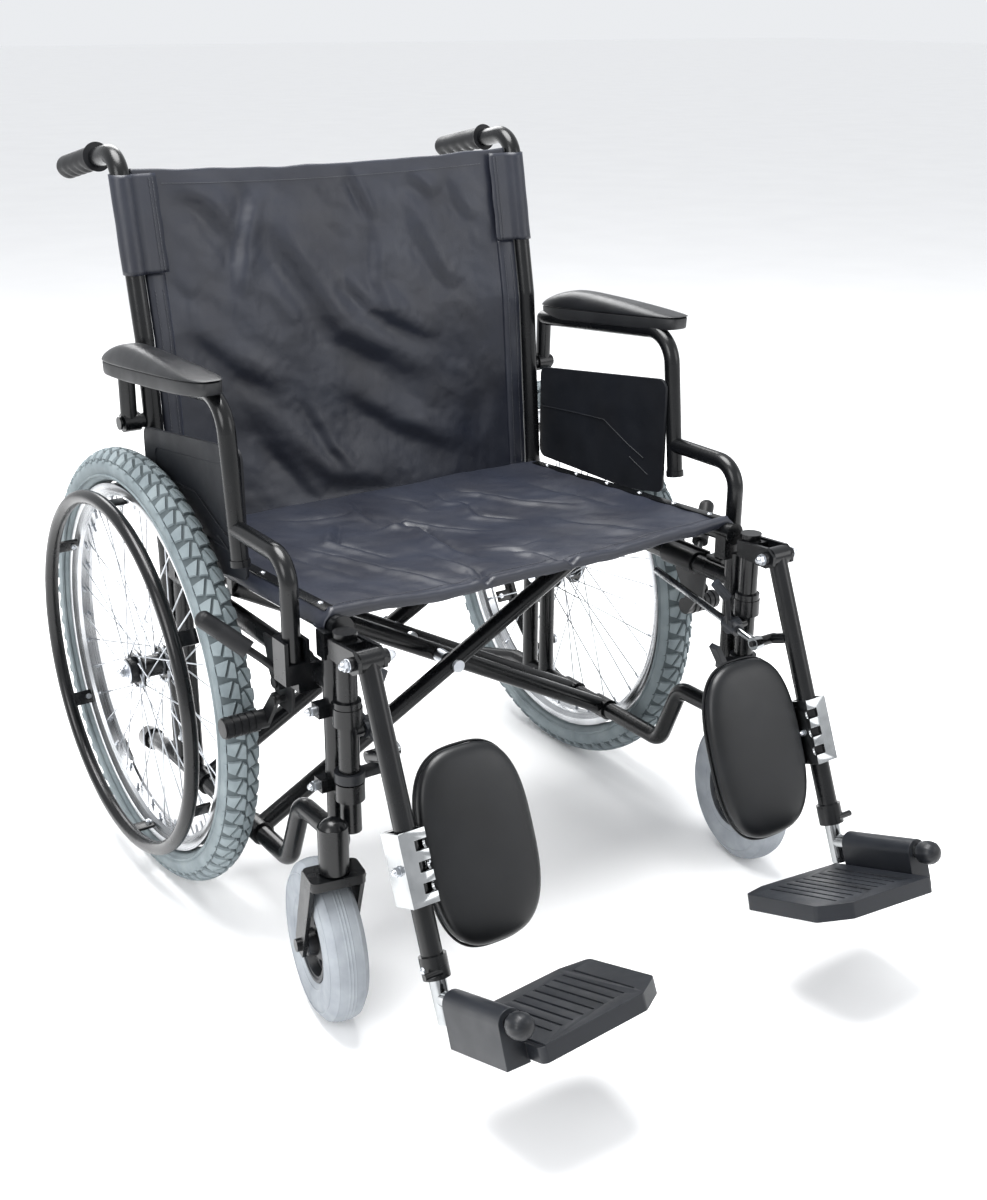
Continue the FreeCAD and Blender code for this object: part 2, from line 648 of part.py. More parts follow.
def brake_shoe():
    """Arm with the ribbed drum that presses on the tyre."""
    y, z = SHOE_PIVOT
    cy, cz = SHOE_CENTRE
    x = BRACKET_X + 13
    arm = [(y - 9, z + 6), (y + 6, z + 9), (cy + 8, cz + 3), (cy, cz - 9), (cy - 10, cz - 5)]
    plate = rounded(plate_yz(x, 5, arm), 4, along_x)
    core = rod(V(x + 1, cy, cz), V(392, cy, cz), SHOE_R - 1.5)
    pieces = [plate, core]
    for index in range(5):
        start = 346 + 9.4 * index
        pieces.append(rod(V(start, cy, cz), V(start + 6, cy, cz), SHOE_R))
    whole = fuse(pieces)
    return whole.cut(rod(V(x - 20, y, z), V(x + 40, y, z), BRAKE_PIN_R + RUNNING))


# ---- legrest ---------------------------------------------------------------
CHEEK_GAP = 14.0
CHEEK_THICK = 4.5


def leg_point(distance, x=LEG_X):
    """Point on the leg tube's axis, measured down from the knee."""
    y, z = polar(KNEE, distance, -LEG_LEAN)
    return V(x, y, z)


def clamp_point():
    """y, z of the rod clamp's pivot on the hanger."""
    return polar(KNEE, ROD_ARM, CLAMP_ANGLE)


def rod_pin_point():
    """y, z of the rod's pivot on the leg tube's stub."""
    return polar(KNEE, ROD_ARM, ROD_ANGLE)


def legrest_hanger():
    """Upright tube that turns in the frame's collars, with the fork that holds the leg."""
    tube = rod(V(LEG_X, HANGER_Y, 255), V(LEG_X, HANGER_Y, 500), TUBE_R)
    cap = rod(V(LEG_X, HANGER_Y, 498), V(LEG_X, HANGER_Y, 505), TUBE_R + 1.5)
    collar_top = COLLAR_Z[0] + 11
    shoulder_low = V(LEG_X, HANGER_Y, collar_top + CLEAR)
    shoulder = rod(shoulder_low, V(LEG_X, HANGER_Y, collar_top + 8), TUBE_R + 4)
    y, z = KNEE
    cheek = [(HANGER_Y + 6, z - 12), (HANGER_Y + 6, z + 10), (y, z + 14), (y - 13, z + 5)]
    cheek += [(y - 13, z - 7), (y, z - 14)]
    pieces = [tube, cap, shoulder]
    for x in (LEG_X - CHEEK_GAP - CHEEK_THICK, LEG_X + CHEEK_GAP):
        pieces.append(plate_yz(x, CHEEK_THICK, cheek))
    bridge = block(
        (LEG_X - CHEEK_GAP - 1, HANGER_Y - 18, z - 11), (LEG_X + CHEEK_GAP + 1, HANGER_Y + 4, z + 9)
    )
    reach = CHEEK_GAP + CHEEK_THICK
    bolt = rod(V(LEG_X - reach - 6, y, z), V(LEG_X + reach + 6, y, z), KNEE_BOLT_R)
    pieces += [bridge, bolt]
    pieces.append(rod(V(LEG_X - reach - 6, y, z), V(LEG_X - reach, y, z), 9))
    pieces.append(rod(V(LEG_X + reach, y, z), V(LEG_X + reach + 6, y, z), 8))
    cy, cz = clamp_point()
    pieces.append(rod(V(LEG_X, HANGER_Y, cz), V(LEG_X, cy, cz), 6))
    pieces.append(rod(V(LEG_X, cy, cz), V(ROD_X + 6.5, cy, cz), 4))
    pieces.append(rod(V(LEG_X + 2, cy, cz), V(ROD_X + 12.5, cy, cz), 7))
    return fuse(pieces)


def leg_tube():
    """Telescoping leg tube with its hinge barrel, rod stub and lower clamp collar."""
    y, z = KNEE
    barrel = rod(V(LEG_X - CHEEK_GAP + CLEAR, y, z), V(LEG_X + CHEEK_GAP - CLEAR, y, z), 13)
    tube = rod(leg_point(2), leg_point(LEG_LENGTH), TUBE_R)
    collar = rod(leg_point(LEG_LENGTH - 22), leg_point(LEG_LENGTH + 4), 16)
    clamp_mid = leg_point(LEG_LENGTH - 9)
    bolt = rod(clamp_mid - V(0, 14, 0), clamp_mid + V(22, -14, 0), 4)
    py, pz = rod_pin_point()
    base = leg_point(ROD_ARM - 6)
    stub = rod(V(LEG_X, base.y, base.z), V(LEG_X, py, pz), 7)
    pin = rod(V(LEG_X, py, pz), V(ROD_X - 9, py, pz), 4)
    shoulder = rod(V(LEG_X + 6, py, pz), V(ROD_X + 6.5, py, pz), 7)
    whole = fuse([barrel, tube, collar, bolt, stub, shoulder, pin])
    bolt_hole = rod(V(LEG_X - 40, y, z), V(LEG_X + 40, y, z), KNEE_BOLT_R + RUNNING)
    return whole.cut(bolt_hole)


def leg_rod():
    """Lock rod, pinned to the leg tube and sliding in the clamp."""
    py, pz = rod_pin_point()
    cy, cz = clamp_point()
    start = V(ROD_X, py, pz)
    way = (V(ROD_X, cy, cz) - start).normalize()
    bar = rod(start, start + way * ROD_LENGTH, ROD_R)
    eye = rod(V(ROD_X - 6, py, pz), V(ROD_X + 6, py, pz), 9)
    pin_hole = rod(V(ROD_X - 20, py, pz), V(ROD_X + 20, py, pz), 4 + RUNNING)
    return fuse([bar, eye]).cut(pin_hole)


def rod_clamp():
    """Swivelling clamp on the hanger that grips the lock rod, with its lever."""
    py, pz = rod_pin_point()
    cy, cz = clamp_point()
    centre = V(ROD_X, cy, cz)
    way = (centre - V(ROD_X, py, pz)).normalize()
    body = rod(centre - way * 13, centre + way * 13, 9.5)
    boss = rod(V(ROD_X - 9, cy, cz), V(ROD_X + 10, cy, cz), 10)
    lever_start = V(ROD_X - 6, cy, cz + 4)
    lever_knee = V(ROD_X - 8, cy + 4, cz + 40)
    lever = rod(lever_start, lever_knee, 3.5)
    handle_end = V(ROD_X - 24, cy + 12, cz + 62)
    handle = rod(lever_knee, handle_end, 6.5)
    bore = rod(centre - way * 40, centre + way * 40, ROD_R + CLEAR)
    pin_bore = rod(V(ROD_X + 6.2, cy, cz), V(ROD_X + 20, cy, cz), 4 + RUNNING)
    return fuse([body, boss, lever, handle]).cut(bore).cut(pin_bore)


def legrest_latch():
    """Finger lever on the hanger that frees the legrest to swing away."""
    low, high = LATCH_Z
    hub = rod(V(LEG_X, HANGER_Y, low), V(LEG_X, HANGER_Y, high), 18)
    arm = block((LEG_X - 44, HANGER_Y - 9, low + 1), (LEG_X - 12, HANGER_Y + 7, high - 2))
    blade = [(LEG_X - 40, low + 1), (LEG_X - 58, low + 34), (LEG_X - 52, low + 38)]
    blade += [(LEG_X - 36, high - 2)]
    whole = fuse([hub, arm, plate_xz(HANGER_Y - 9, 16, blade)])
    bore = rod(V(LEG_X, HANGER_Y, low - 5), V(LEG_X, HANGER_Y, high + 40), TUBE_R + RUNNING)
    return whole.cut(bore)


PAD_CENTRE_X = 213.5
LATCH_Z = (320.0, 332.0)
CALF_WIDTH = 149.0
CALF_HEIGHT = 232.0
CALF_CORNER = 58.0
CALF_THICK = 28.0
CALF_DOWN = 232.0           # distance of the pad's middle down the leg
CALF_OFFSET = 6.0           # the pad's middle plane lies this far behind the tube


def leg_frame(shape):
    """Turn a piece drawn round a vertical leg at the origin into place on the leaning leg."""
    moved = shape.copy()
    moved.rotate(V(0, 0, 0), V(1, 0, 0), -LEG_LEAN)
    moved.translate(V(0, KNEE[0], KNEE[1]))
    return moved


def calf_pad():
    """Calf pad, a rounded cushion facing forwards."""
    x = PAD_CENTRE_X
    half_w, half_h, half_t = CALF_WIDTH / 2, CALF_HEIGHT / 2, CALF_THICK / 2
    middle = -CALF_DOWN
    pad = block(
        (x - half_w, CALF_OFFSET - half_t, middle - half_h),
        (x + half_w, CALF_OFFSET + half_t, middle + half_h),
    )
    corners = [edge for edge in pad.Edges if abs(edge.Length - CALF_THICK) < 0.01]
    pad = pad.makeFillet(CALF_CORNER, corners)
    front = [edge for edge in pad.Edges if edge.BoundBox.YMax < CALF_OFFSET - half_t + 0.01]
    pad = pad.makeFillet(9, front)
    return leg_frame(pad)


def calf_bracket():
    """Notched bracket and strap that hold the calf pad beside the leg tube."""
    x = LEG_X
    back = CALF_OFFSET + CALF_THICK / 2 + CLEAR
    strap = block((PAD_CENTRE_X - 30, back, -CALF_DOWN - 30), (x - 11, back + 4, -CALF_DOWN + 30))
    saddle = block((x - 16, -16, -CALF_DOWN - 42), (x + 18, back + 4, -CALF_DOWN + 42))
    inner = block((x - 13, -13, -CALF_DOWN - 50), (x + 15, TUBE_R + 1, -CALF_DOWN + 50))
    channel = saddle.cut(inner)
    bolt = rod(V(x - 16, 0, -CALF_DOWN), V(x - TUBE_R, 0, -CALF_DOWN), 7)
    whole = fuse([strap, channel, bolt])
    for index in range(3):
        notch_z = -CALF_DOWN + 24 * (index - 1)
        whole = whole.cut(rod(V(x - 30, -16, notch_z), V(x, -16, notch_z), 6))
    tube = rod(V(x, 0, -CALF_DOWN - 60), V(x, 0, -CALF_DOWN + 60), TUBE_R)
    return leg_frame(whole.cut(tube))


def hinge_way():
    """Unit vector along the footplate's hinge tube, towards the toes."""
    rise = math.radians(PLATE_RISE)
    return V(0, -math.cos(rise), math.sin(rise))


def foot_post():
    """Chromed foot tube that slides in the leg tube, and the footplate's hinge tube."""
    top = leg_point(LEG_LENGTH + 4)
    bottom = leg_point(LEG_LENGTH + 56)
    post = rod(top, bottom, 10)
    y, z = PLATE_REAR
    start = V(LEG_X, y, z)
    way = hinge_way()
    tube = rod(start, start + way * HINGE_LENGTH, HINGE_TUBE_R)
    ball = Part.makeSphere(14, start + way * (HINGE_LENGTH + 2))
    return fuse([post, tube, ball])


HUB_LEDGE = 18.0             # the tread stops this far inboard of the hinge's axis
LEDGE_Z = -25.8              # height of the ledge between the tread and the hub's box


def footplate():
    """Ribbed footplate with its boxed hinge hub, drawn flat and tipped up towards the toes."""
    rear, front = 14.0, 172.0
    inner_w, outer_w = 184.0, 11.0
    top, bottom = -12.0, -32.0
    corner = 36.0
    outline = [(-outer_w, rear), (-outer_w, front), (-inner_w + corner, front)]
    outline += [(-inner_w, front - 26), (-inner_w, rear + 12), (-inner_w + corner, rear)]
    corners = [V(x, -along, bottom) for x, along in outline]
    slab = Part.Face(Part.makePolygon(corners + corners[:1])).extrude(V(0, 0, top - bottom))
    slab = rounded(slab, 8, lambda e: abs(e.Length - (top - bottom)) < 0.01)
    for index in range(9):
        x = -inner_w + 30 + 14 * index
        slab = slab.cut(block((x, -front + 22, top - 1.6), (x + 3, -rear - 22, top + 1)))
    slab.rotate(V(-inner_w, 0, top), V(0, 1, 0), PLATE_TILT)
    slab = slab.cut(block((-HUB_LEDGE, -front - 5, LEDGE_Z), (0, 5, 0)))
    hub_start, hub_end = rear + 14, HINGE_LENGTH - 16
    hub = rod(V(0, -hub_start, 0), V(0, -hub_end, 0), 15)
    housing = block((-15, -hub_end, -48), (15, -hub_start, 0))
    hollow = block((-9, -hub_end + 5, -50), (9, -hub_start - 5, -HINGE_TUBE_R - 6))
    whole = fuse([slab, hub, housing.cut(hollow)])
    bore = rod(V(0, 20, 0), V(0, -front - 20, 0), HINGE_TUBE_R + RUNNING)
    whole = whole.cut(bore)
    whole.rotate(V(0, 0, 0), V(1, 0, 0), -PLATE_RISE)
    y, z = PLATE_REAR
    whole.translate(V(LEG_X, y, z))
    return whole


# ---- assembly --------------------------------------------------------------
def side_pieces():
    """Every piece of the +X side, by name."""
    axle, heads = fasteners()
    return {
        "side_frame": side_frame(),
        "back_cane": back_cane(),
        "push_grip": push_grip(),
        "rear_tyre": rear_tyre(),
        "rear_rim": rear_rim(),
        "spokes": Part.makeCompound(spokes()),
        "rear_hub": rear_hub(),
        "handrim": handrim(),
        "caster_fork": caster_fork(),
        "caster_tyre": caster_tyre(),
        "caster_hub": caster_hub(),
        "brake_bracket": brake_bracket(),
        "brake_lever": brake_lever(),
        "brake_shoe": brake_shoe(),
        "armrest_tube": armrest_tube(),
        "armrest_pad": armrest_pad(),
        "skirt_guard": skirt_guard(),
        "legrest_hanger": legrest_hanger(),
        "leg_tube": leg_tube(),
        "leg_rod": leg_rod(),
        "rod_clamp": rod_clamp(),
        "legrest_latch": legrest_latch(),
        "calf_bracket": calf_bracket(),
        "calf_pad": calf_pad(),
        "foot_post": foot_post(),
        "footplate": footplate(),
        "fasteners": Part.makeCompound([axle] + heads),
    }


def save(name, shape):
    """Write one node, moved so that the origin is the middle of the footprint."""
    placed = shape.copy()
    placed.translate(V(0, CENTRE_SHIFT, 0))
    placed.exportStep("parts/" + name + ".step")
    return placed.BoundBox


def main():
    """Build and write every node, and print the overall size."""
    os.makedirs("parts", exist_ok=True)
    whole = FreeCAD.BoundBox()
    for name, shape in side_pieces().items():
        for side, piece, stem_x in (("left_", shape, STEM_X), ("right_", mirrored(shape), -STEM_X)):
            if name.startswith("caster"):
                piece.rotate(V(stem_x, STEM_Y, 0), V(0, 0, 1), CASTER_TURN)
            whole.add(save(side + name, piece))
    brace_a = brace(BAR_YS_A, CROSS_BOLT_R)
    brace_b = mirrored(brace(BAR_YS_B, CROSS_BOLT_R + RUNNING))
    whole.add(save("cross_brace_a", brace_a))
    whole.add(save("cross_brace_b", brace_b))
    whole.add(save("cross_pivot_bolts", Part.makeCompound(pivot_bolts())))
    whole.add(save("seat_sling", seat_sling()))
    whole.add(save("back_sling", back_sling()))
    print("X", whole.XMin, whole.XMax)
    print("Y", whole.YMin, whole.YMax)
    print("Z", whole.ZMin, whole.ZMax)


main()
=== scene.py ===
import json
import math

import bmesh
import bpy
from mathutils import Matrix, Vector, noise


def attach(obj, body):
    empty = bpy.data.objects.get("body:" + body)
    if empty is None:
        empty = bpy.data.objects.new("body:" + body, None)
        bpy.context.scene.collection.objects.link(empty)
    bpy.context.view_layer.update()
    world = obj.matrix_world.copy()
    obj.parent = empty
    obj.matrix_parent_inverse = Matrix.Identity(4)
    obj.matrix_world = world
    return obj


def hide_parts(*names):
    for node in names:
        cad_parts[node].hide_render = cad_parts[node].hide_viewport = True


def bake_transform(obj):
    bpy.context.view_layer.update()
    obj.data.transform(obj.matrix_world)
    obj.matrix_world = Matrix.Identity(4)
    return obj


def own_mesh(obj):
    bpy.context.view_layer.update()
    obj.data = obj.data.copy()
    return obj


bl_info = {
    "name": "Folding Wheelchair",
    "version": (1, 0, 0),
    "blender": (4, 5, 0),
    "location": "View3D > Sidebar > Wheelchair",
    "description": "Dresses a packed folding wheelchair with its fabric, rubber, plastic and metal",
    "category": "Object",
}

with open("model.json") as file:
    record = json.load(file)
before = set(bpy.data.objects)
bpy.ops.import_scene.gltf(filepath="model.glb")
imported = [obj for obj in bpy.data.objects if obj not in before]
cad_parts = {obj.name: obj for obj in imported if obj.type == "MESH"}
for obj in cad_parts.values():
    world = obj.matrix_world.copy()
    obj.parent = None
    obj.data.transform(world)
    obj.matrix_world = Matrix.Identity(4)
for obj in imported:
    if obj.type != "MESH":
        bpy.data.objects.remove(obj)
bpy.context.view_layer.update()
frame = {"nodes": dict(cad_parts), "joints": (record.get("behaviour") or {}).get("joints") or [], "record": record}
JOINTS = {joint["name"]: joint for joint in frame["joints"]}
SIDES = {"left": 1.0, "right": -1.0}
MM = 0.001


def joint_place(name):
    """A joint's place at rest, in metres."""
    row = JOINTS[name]
    return Vector(row.get("pos_m") or row.get("pos"))


WHEEL = joint_place("left_wheel_spin")
KNEE = joint_place("left_leg_raise")
AXLE_Y = WHEEL.y

# Places and sizes that several pieces share, in mm.
CANE_X = 307.0    # back canes' axes
RAIL_X = 297.0    # seat rails' axes
WRAP_R = 14.6     # cloth wrapped round a 25 mm tube


def at(x, y, z):
    """A point in metres from millimetres, with y counted from the rear axle."""
    return Vector((x * MM, y * MM + AXLE_Y, z * MM))


# ---- small tools -------------------------------------------------------------
def linear(code):
    """sRGB hex to linear colour."""
    channels = [int(code[i:i + 2], 16) / 255 for i in (1, 3, 5)]
    return tuple(
        c / 12.92 if c <= 0.04045 else ((c + 0.055) / 1.055) ** 2.4 for c in channels
    ) + (1.0,)


def add(tree, kind, links=None, **settings):
    """Adds a node, sets its attributes and sockets, and links sockets to it."""
    node = tree.nodes.new(kind)
    values = settings.pop("values", {})
    for key, value in settings.items():
        setattr(node, key, value)
    for key, value in values.items():
        node.inputs[key].default_value = value
    for key, source in (links or {}).items():
        tree.links.new(source, node.inputs[key])
    return node


def begin_material(name, **sockets):
    """A new material with its shader's own sockets set. Gives material, tree, shader."""
    made = bpy.data.materials.new(name)
    made.use_nodes = True
    tree = made.node_tree
    shader = tree.nodes["Principled BSDF"]
    for key, value in sockets.items():
        shader.inputs[key.replace("_", " ")].default_value = value
    return made, tree, shader


def object_coordinates(tree, scale=(1, 1, 1)):
    """Object coordinates, stretched by scale."""
    where = add(tree, "ShaderNodeTexCoord")
    return add(
        tree, "ShaderNodeMapping", {"Vector": where.outputs["Object"]}, values={"Scale": scale}
    ).outputs["Vector"]


def mottle(tree, vector, scale, low, high, detail=3.0):
    """Noise between two values or two colours."""
    grain = add(
        tree, "ShaderNodeTexNoise", {"Vector": vector}, values={"Scale": scale, "Detail": detail}
    )
    ramp = add(tree, "ShaderNodeValToRGB", {"Fac": grain.outputs["Fac"]})
    for stop, place, value in zip(ramp.color_ramp.elements, (0.3, 0.7), (low, high)):
        stop.position = place
        stop.color = value if isinstance(value, tuple) else (value, value, value, 1.0)
    return ramp.outputs["Color"]


def painted_edge_highlight(tree, low, high, fine):
    """Two colours mixed by how sharply the surface turns outwards, for a painted highlight on convex edges."""
    shape = add(tree, "ShaderNodeNewGeometry")
    ramp = add(tree, "ShaderNodeValToRGB", {"Fac": shape.outputs["Pointiness"]})
    ramp.color_ramp.elements[0].position = 0.5
    ramp.color_ramp.elements[1].position = 0.5 + fine
    ramp.color_ramp.elements[0].color = low
    ramp.color_ramp.elements[1].color = high
    return ramp.outputs["Color"]


def grained(name, base, light, rough, grain_mm, relief_mm, **sockets):
    """A moulded or coated surface: two close tones, uneven gloss and a fine grain."""
    made, tree, shader = begin_material(name, **sockets)
    where = object_coordinates(tree)
    tone = mottle(tree, where, 14.0, linear(base), linear(light), 4.0)
    tree.links.new(tone, shader.inputs["Base Color"])
    gloss = mottle(tree, where, 30.0, rough[0], rough[1], 4.0)
    tree.links.new(gloss, shader.inputs["Roughness"])
    grain = add(
        tree, "ShaderNodeTexNoise", {"Vector": where},
        values={"Scale": 1.0 / (grain_mm * MM), "Detail": 2.0},
    )
    relief = add(tree, "ShaderNodeBump", {"Height": grain.outputs["Fac"]},
                 values={"Distance": relief_mm * MM, "Strength": 1.0})
    tree.links.new(relief.outputs["Normal"], shader.inputs["Normal"])
    return made


def turned(name, base, light, rough, groove_mm, **sockets):
    """Bright metal with fine machining lines round an axle along X."""
    made, tree, shader = begin_material(name, Metallic=1.0, **sockets)
    where = object_coordinates(tree)
    tone = mottle(tree, where, 22.0, linear(base), linear(light), 4.0)
    tree.links.new(tone, shader.inputs["Base Color"])
    lines = add(
        tree, "ShaderNodeTexNoise",
        {"Vector": object_coordinates(tree, (1.0 / (groove_mm * MM), 6.0, 6.0))},
        values={"Scale": 1.0, "Detail": 3.0},
    )
    gloss = add(
        tree, "ShaderNodeMapRange", {"Value": lines.outputs["Fac"]},
        values={"To Min": rough[0], "To Max": rough[1]},
    )
    tree.links.new(gloss.outputs["Result"], shader.inputs["Roughness"])
    relief = add(tree, "ShaderNodeBump", {"Height": lines.outputs["Fac"]},
                 values={"Distance": 0.03 * MM, "Strength": 1.0})
    tree.links.new(relief.outputs["Normal"], shader.inputs["Normal"])
    return made


# ---- materials ---------------------------------------------------------------
def powder_coat():
    """Powder-coated steel: a deep gloss black with the faint ripple of baked powder."""
    return grained(
        "powder_coated_steel", "#060708", "#0c0d0f", (0.2, 0.3), 1.6, 0.035,
        Specular_IOR_Level=0.36,
    )


def stamped_steel():
    """Black e-coated pressed steel: duller than powder coat, with small rubbed patches."""
    return grained("coated_pressed_steel", "#08090a", "#101114", (0.32, 0.46), 0.8, 0.02,
                   Specular_IOR_Level=0.32)


def zinc_plate():
    """Bright zinc on turned steel: pale grey with a faint mottled sheen."""
    return turned("bright_zinc_plated_steel", "#a9adb3", "#d3d6da", (0.22, 0.38), 0.7)


def chrome_plate():
    """Chromium plate over drawn tube: mirror bright, with long soft drawing lines."""
    return turned("chromium_plated_tube", "#8d9092", "#b7b9ba", (0.08, 0.2), 1.2)


def rim_alloy():
    """Extruded and polished aluminium: satin silver with lines along the rim."""
    return turned("polished_extruded_aluminium", "#a3a5a8", "#c4c6c8", (0.2, 0.36), 0.6)


def spoke_wire():
    """Drawn stainless wire: thin bright lines, a little dulled."""
    return turned("drawn_stainless_wire", "#9da1a6", "#c9ccd0", (0.24, 0.34), 2.0)


def tyre_rubber(name, base, light):
    """Moulded grey rubber: soft matte, dusty where it has rolled, with a fine pebble."""
    made, tree, shader = begin_material(name, Specular_IOR_Level=0.35)
    where = object_coordinates(tree)
    dust_and_edge_highlight = mottle(tree, where, 26.0, linear(base), linear(light), 5.0)
    tree.links.new(dust_and_edge_highlight, shader.inputs["Base Color"])
    gloss = mottle(tree, where, 60.0, 0.62, 0.82)
    tree.links.new(gloss, shader.inputs["Roughness"])
    pebble = add(
        tree, "ShaderNodeTexVoronoi", {"Vector": where}, values={"Scale": 1.0 / (0.9 * MM)}
    )
    relief = add(tree, "ShaderNodeBump", {"Height": pebble.outputs["Distance"]},
                 values={"Distance": 0.05 * MM, "Strength": 1.0})
    tree.links.new(relief.outputs["Normal"], shader.inputs["Normal"])
    return made


WEAVE_SCALE = 0.5 / (1.1 * MM)    # of the wave texture, whose bands repeat every 0.314 / scale


def woven_nylon():
    """Coated plain-weave nylon: blue-black and satin, with threads about 0.7 mm apart."""
    made, tree, shader = begin_material(
        "coated_woven_nylon", Sheen_Weight=0.22, Sheen_Roughness=0.4, Specular_IOR_Level=0.5
    )
    shader.inputs["Sheen Tint"].default_value = linear("#5d6474")
    where = add(tree, "ShaderNodeUVMap", uv_map="cloth").outputs["UV"]
    tone = mottle(tree, where, 9.0, linear("#14161f"), linear("#1d212c"), 6.0)
    tree.links.new(tone, shader.inputs["Base Color"])
    gloss = mottle(tree, where, 16.0, 0.38, 0.52, 5.0)
    tree.links.new(gloss, shader.inputs["Roughness"])
    threads = []
    for axis in ("X", "Y"):
        threads.append(add(
            tree, "ShaderNodeTexWave", {"Vector": where}, bands_direction=axis,
            values={"Scale": WEAVE_SCALE, "Distortion": 0.3},
        ))
    weave = add(tree, "ShaderNodeMath", operation="MAXIMUM", links={
        0: threads[0].outputs["Fac"], 1: threads[1].outputs["Fac"],
    })
    lower = add(tree, "ShaderNodeBump", {"Height": weave.outputs["Value"]},
                values={"Distance": 0.05 * MM, "Strength": 0.5})
    crush = add(
        tree, "ShaderNodeTexNoise", {"Vector": where}, values={"Scale": 42.0, "Detail": 5.0}
    )
    relief = add(tree, "ShaderNodeBump", {
        "Height": crush.outputs["Fac"], "Normal": lower.outputs["Normal"],
    }, values={"Distance": 1.3 * MM, "Strength": 0.45})
    tree.links.new(relief.outputs["Normal"], shader.inputs["Normal"])
    return made


def pad_skin(name, base, light, rough, pore_mm):
    """Leather-grained vinyl skin: soft wide highlight broken by fine pores and creases."""
    made, tree, shader = begin_material(name, Specular_IOR_Level=0.38)
    where = object_coordinates(tree)
    tone = mottle(tree, where, 18.0, linear(base), linear(light), 5.0)
    tree.links.new(tone, shader.inputs["Base Color"])
    gloss = mottle(tree, where, 40.0, rough[0], rough[1], 4.0)
    tree.links.new(gloss, shader.inputs["Roughness"])
    cells = add(
        tree, "ShaderNodeTexVoronoi", {"Vector": where}, feature="DISTANCE_TO_EDGE",
        values={"Scale": 1.0 / (pore_mm * MM)},
    )
    crease = add(
        tree, "ShaderNodeMath", {0: cells.outputs["Distance"]}, operation="MINIMUM"
    )
    crease.inputs[1].default_value = 0.18
    relief = add(tree, "ShaderNodeBump", {"Height": crease.outputs["Value"]},
                 values={"Distance": 0.25 * MM, "Strength": 0.5})
    tree.links.new(relief.outputs["Normal"], shader.inputs["Normal"])
    return made


def moulded_plastic(name, base, light, rough):
    """Injection-moulded black nylon: satin spark-eroded grain, with a painted highlight along its edges."""
    made, tree, shader = begin_material(name, Specular_IOR_Level=0.3)
    where = object_coordinates(tree)
    body = mottle(tree, where, 20.0, linear(base), linear(light), 4.0)
    # painted highlight: convex edges are lightened towards #26292e
    dust_and_edge_highlight = painted_edge_highlight(tree, (0, 0, 0, 1), (1, 1, 1, 1), 0.12)
    mixed = add(tree, "ShaderNodeMix", data_type="RGBA")
    tree.links.new(dust_and_edge_highlight, mixed.inputs["Factor"])
    tree.links.new(body, mixed.inputs[6])
    mixed.inputs[7].default_value = linear("#26292e")
    tree.links.new(mixed.outputs[2], shader.inputs["Base Color"])
    gloss = mottle(tree, where, 34.0, rough[0], rough[1], 4.0)
    tree.links.new(gloss, shader.inputs["Roughness"])
    grain = add(
        tree, "ShaderNodeTexNoise", {"Vector": where},
        values={"Scale": 1.0 / (0.7 * MM), "Detail": 2.0},
    )
    relief = add(tree, "ShaderNodeBump", {"Height": grain.outputs["Fac"]},
                 values={"Distance": 0.04 * MM, "Strength": 1.0})
    tree.links.new(relief.outputs["Normal"], shader.inputs["Normal"])
    return made


def thread():
    """Bonded polyester sewing thread: a slightly lighter, fuzzy black."""
    return grained("bonded_polyester_thread", "#23252b", "#34373f", (0.6, 0.8), 0.5, 0.08,
                   Sheen_Weight=0.3)


FINISHES = {}


def finish_for(slot_name):
    """The material for a slot of the record, made once."""
    if slot_name not in FINISHES:
        FINISHES[slot_name] = {
            "frame_paint": powder_coat,
            "fork_paint": lambda: finish_for("frame_paint"),
            "bracket_steel": stamped_steel,
            "grip_rubber": lambda: grained(
                "moulded_grip_rubber", "#0b0c0e", "#131417", (0.46, 0.6), 0.9, 0.06,
                Specular_IOR_Level=0.3),
            "grey_tyre": lambda: tyre_rubber("grey_tyre_rubber", "#6b7579", "#848e91"),
            # painted shade: a darker copy of the tyre rubber for the crown between the tread blocks, where shade
            # falls
            "tyre_groove_painted_shade": lambda: tyre_rubber("shaded_tyre_rubber", "#3f474a", "#4f585b"),
            "caster_rubber": lambda: tyre_rubber("grey_caster_rubber", "#7f848a", "#989da2"),
            "rim_alloy": rim_alloy,
            "spoke_steel": spoke_wire,
            "hub_black": lambda: grained(
                "anodised_black_hub", "#08090b", "#101114", (0.24, 0.34), 0.8, 0.02),
            "hub_plastic": lambda: moulded_plastic(
                "moulded_nylon", "#090a0c", "#111215", (0.34, 0.46)),
            "arm_pad": lambda: pad_skin(
                "self_skinned_foam", "#0a0b0d", "#131417", (0.3, 0.4), 2.2),
            "arm_base": lambda: grained(
                "integral_skin_urethane", "#131416", "#1d1e20", (0.46, 0.6), 1.2, 0.08,
                Specular_IOR_Level=0.4),
            "calf_vinyl": lambda: pad_skin(
                "upholstery_vinyl", "#07080a", "#0d0f12", (0.34, 0.42), 1.4),
            "guard_plastic": lambda: grained(
                "leather_grain_panel", "#080a0f", "#0f1218", (0.5, 0.62), 1.1, 0.12,
                Specular_IOR_Level=0.3),
            "chrome": chrome_plate,
            "plate_plastic": lambda: moulded_plastic(
                "glass_filled_nylon", "#0b0d11", "#14161b", (0.34, 0.46)),
            "fastener_zinc": zinc_plate,
            "sling_nylon": woven_nylon,
            "thread": thread,
        }[slot_name]()
    return FINISHES[slot_name]


# ---- meshes ------------------------------------------------------------------
def put(name, data):
    """A new object in the scene."""
    made = bpy.data.objects.new(name, data)
    bpy.context.collection.objects.link(made)
    return made


def shade(mesh, crease):
    """Smooth shading, broken at edges sharper than crease, in degrees."""
    mesh.polygons.foreach_set("use_smooth", [True] * len(mesh.polygons))
    mesh.set_sharp_from_angle(angle=math.radians(crease))


def settle(made, body, node=None):
    """Hides the CAD node that an object stands for and puts the object on the body it rides on."""
    if node:
        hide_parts(node)
    if body:
        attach(made, body)
    return made


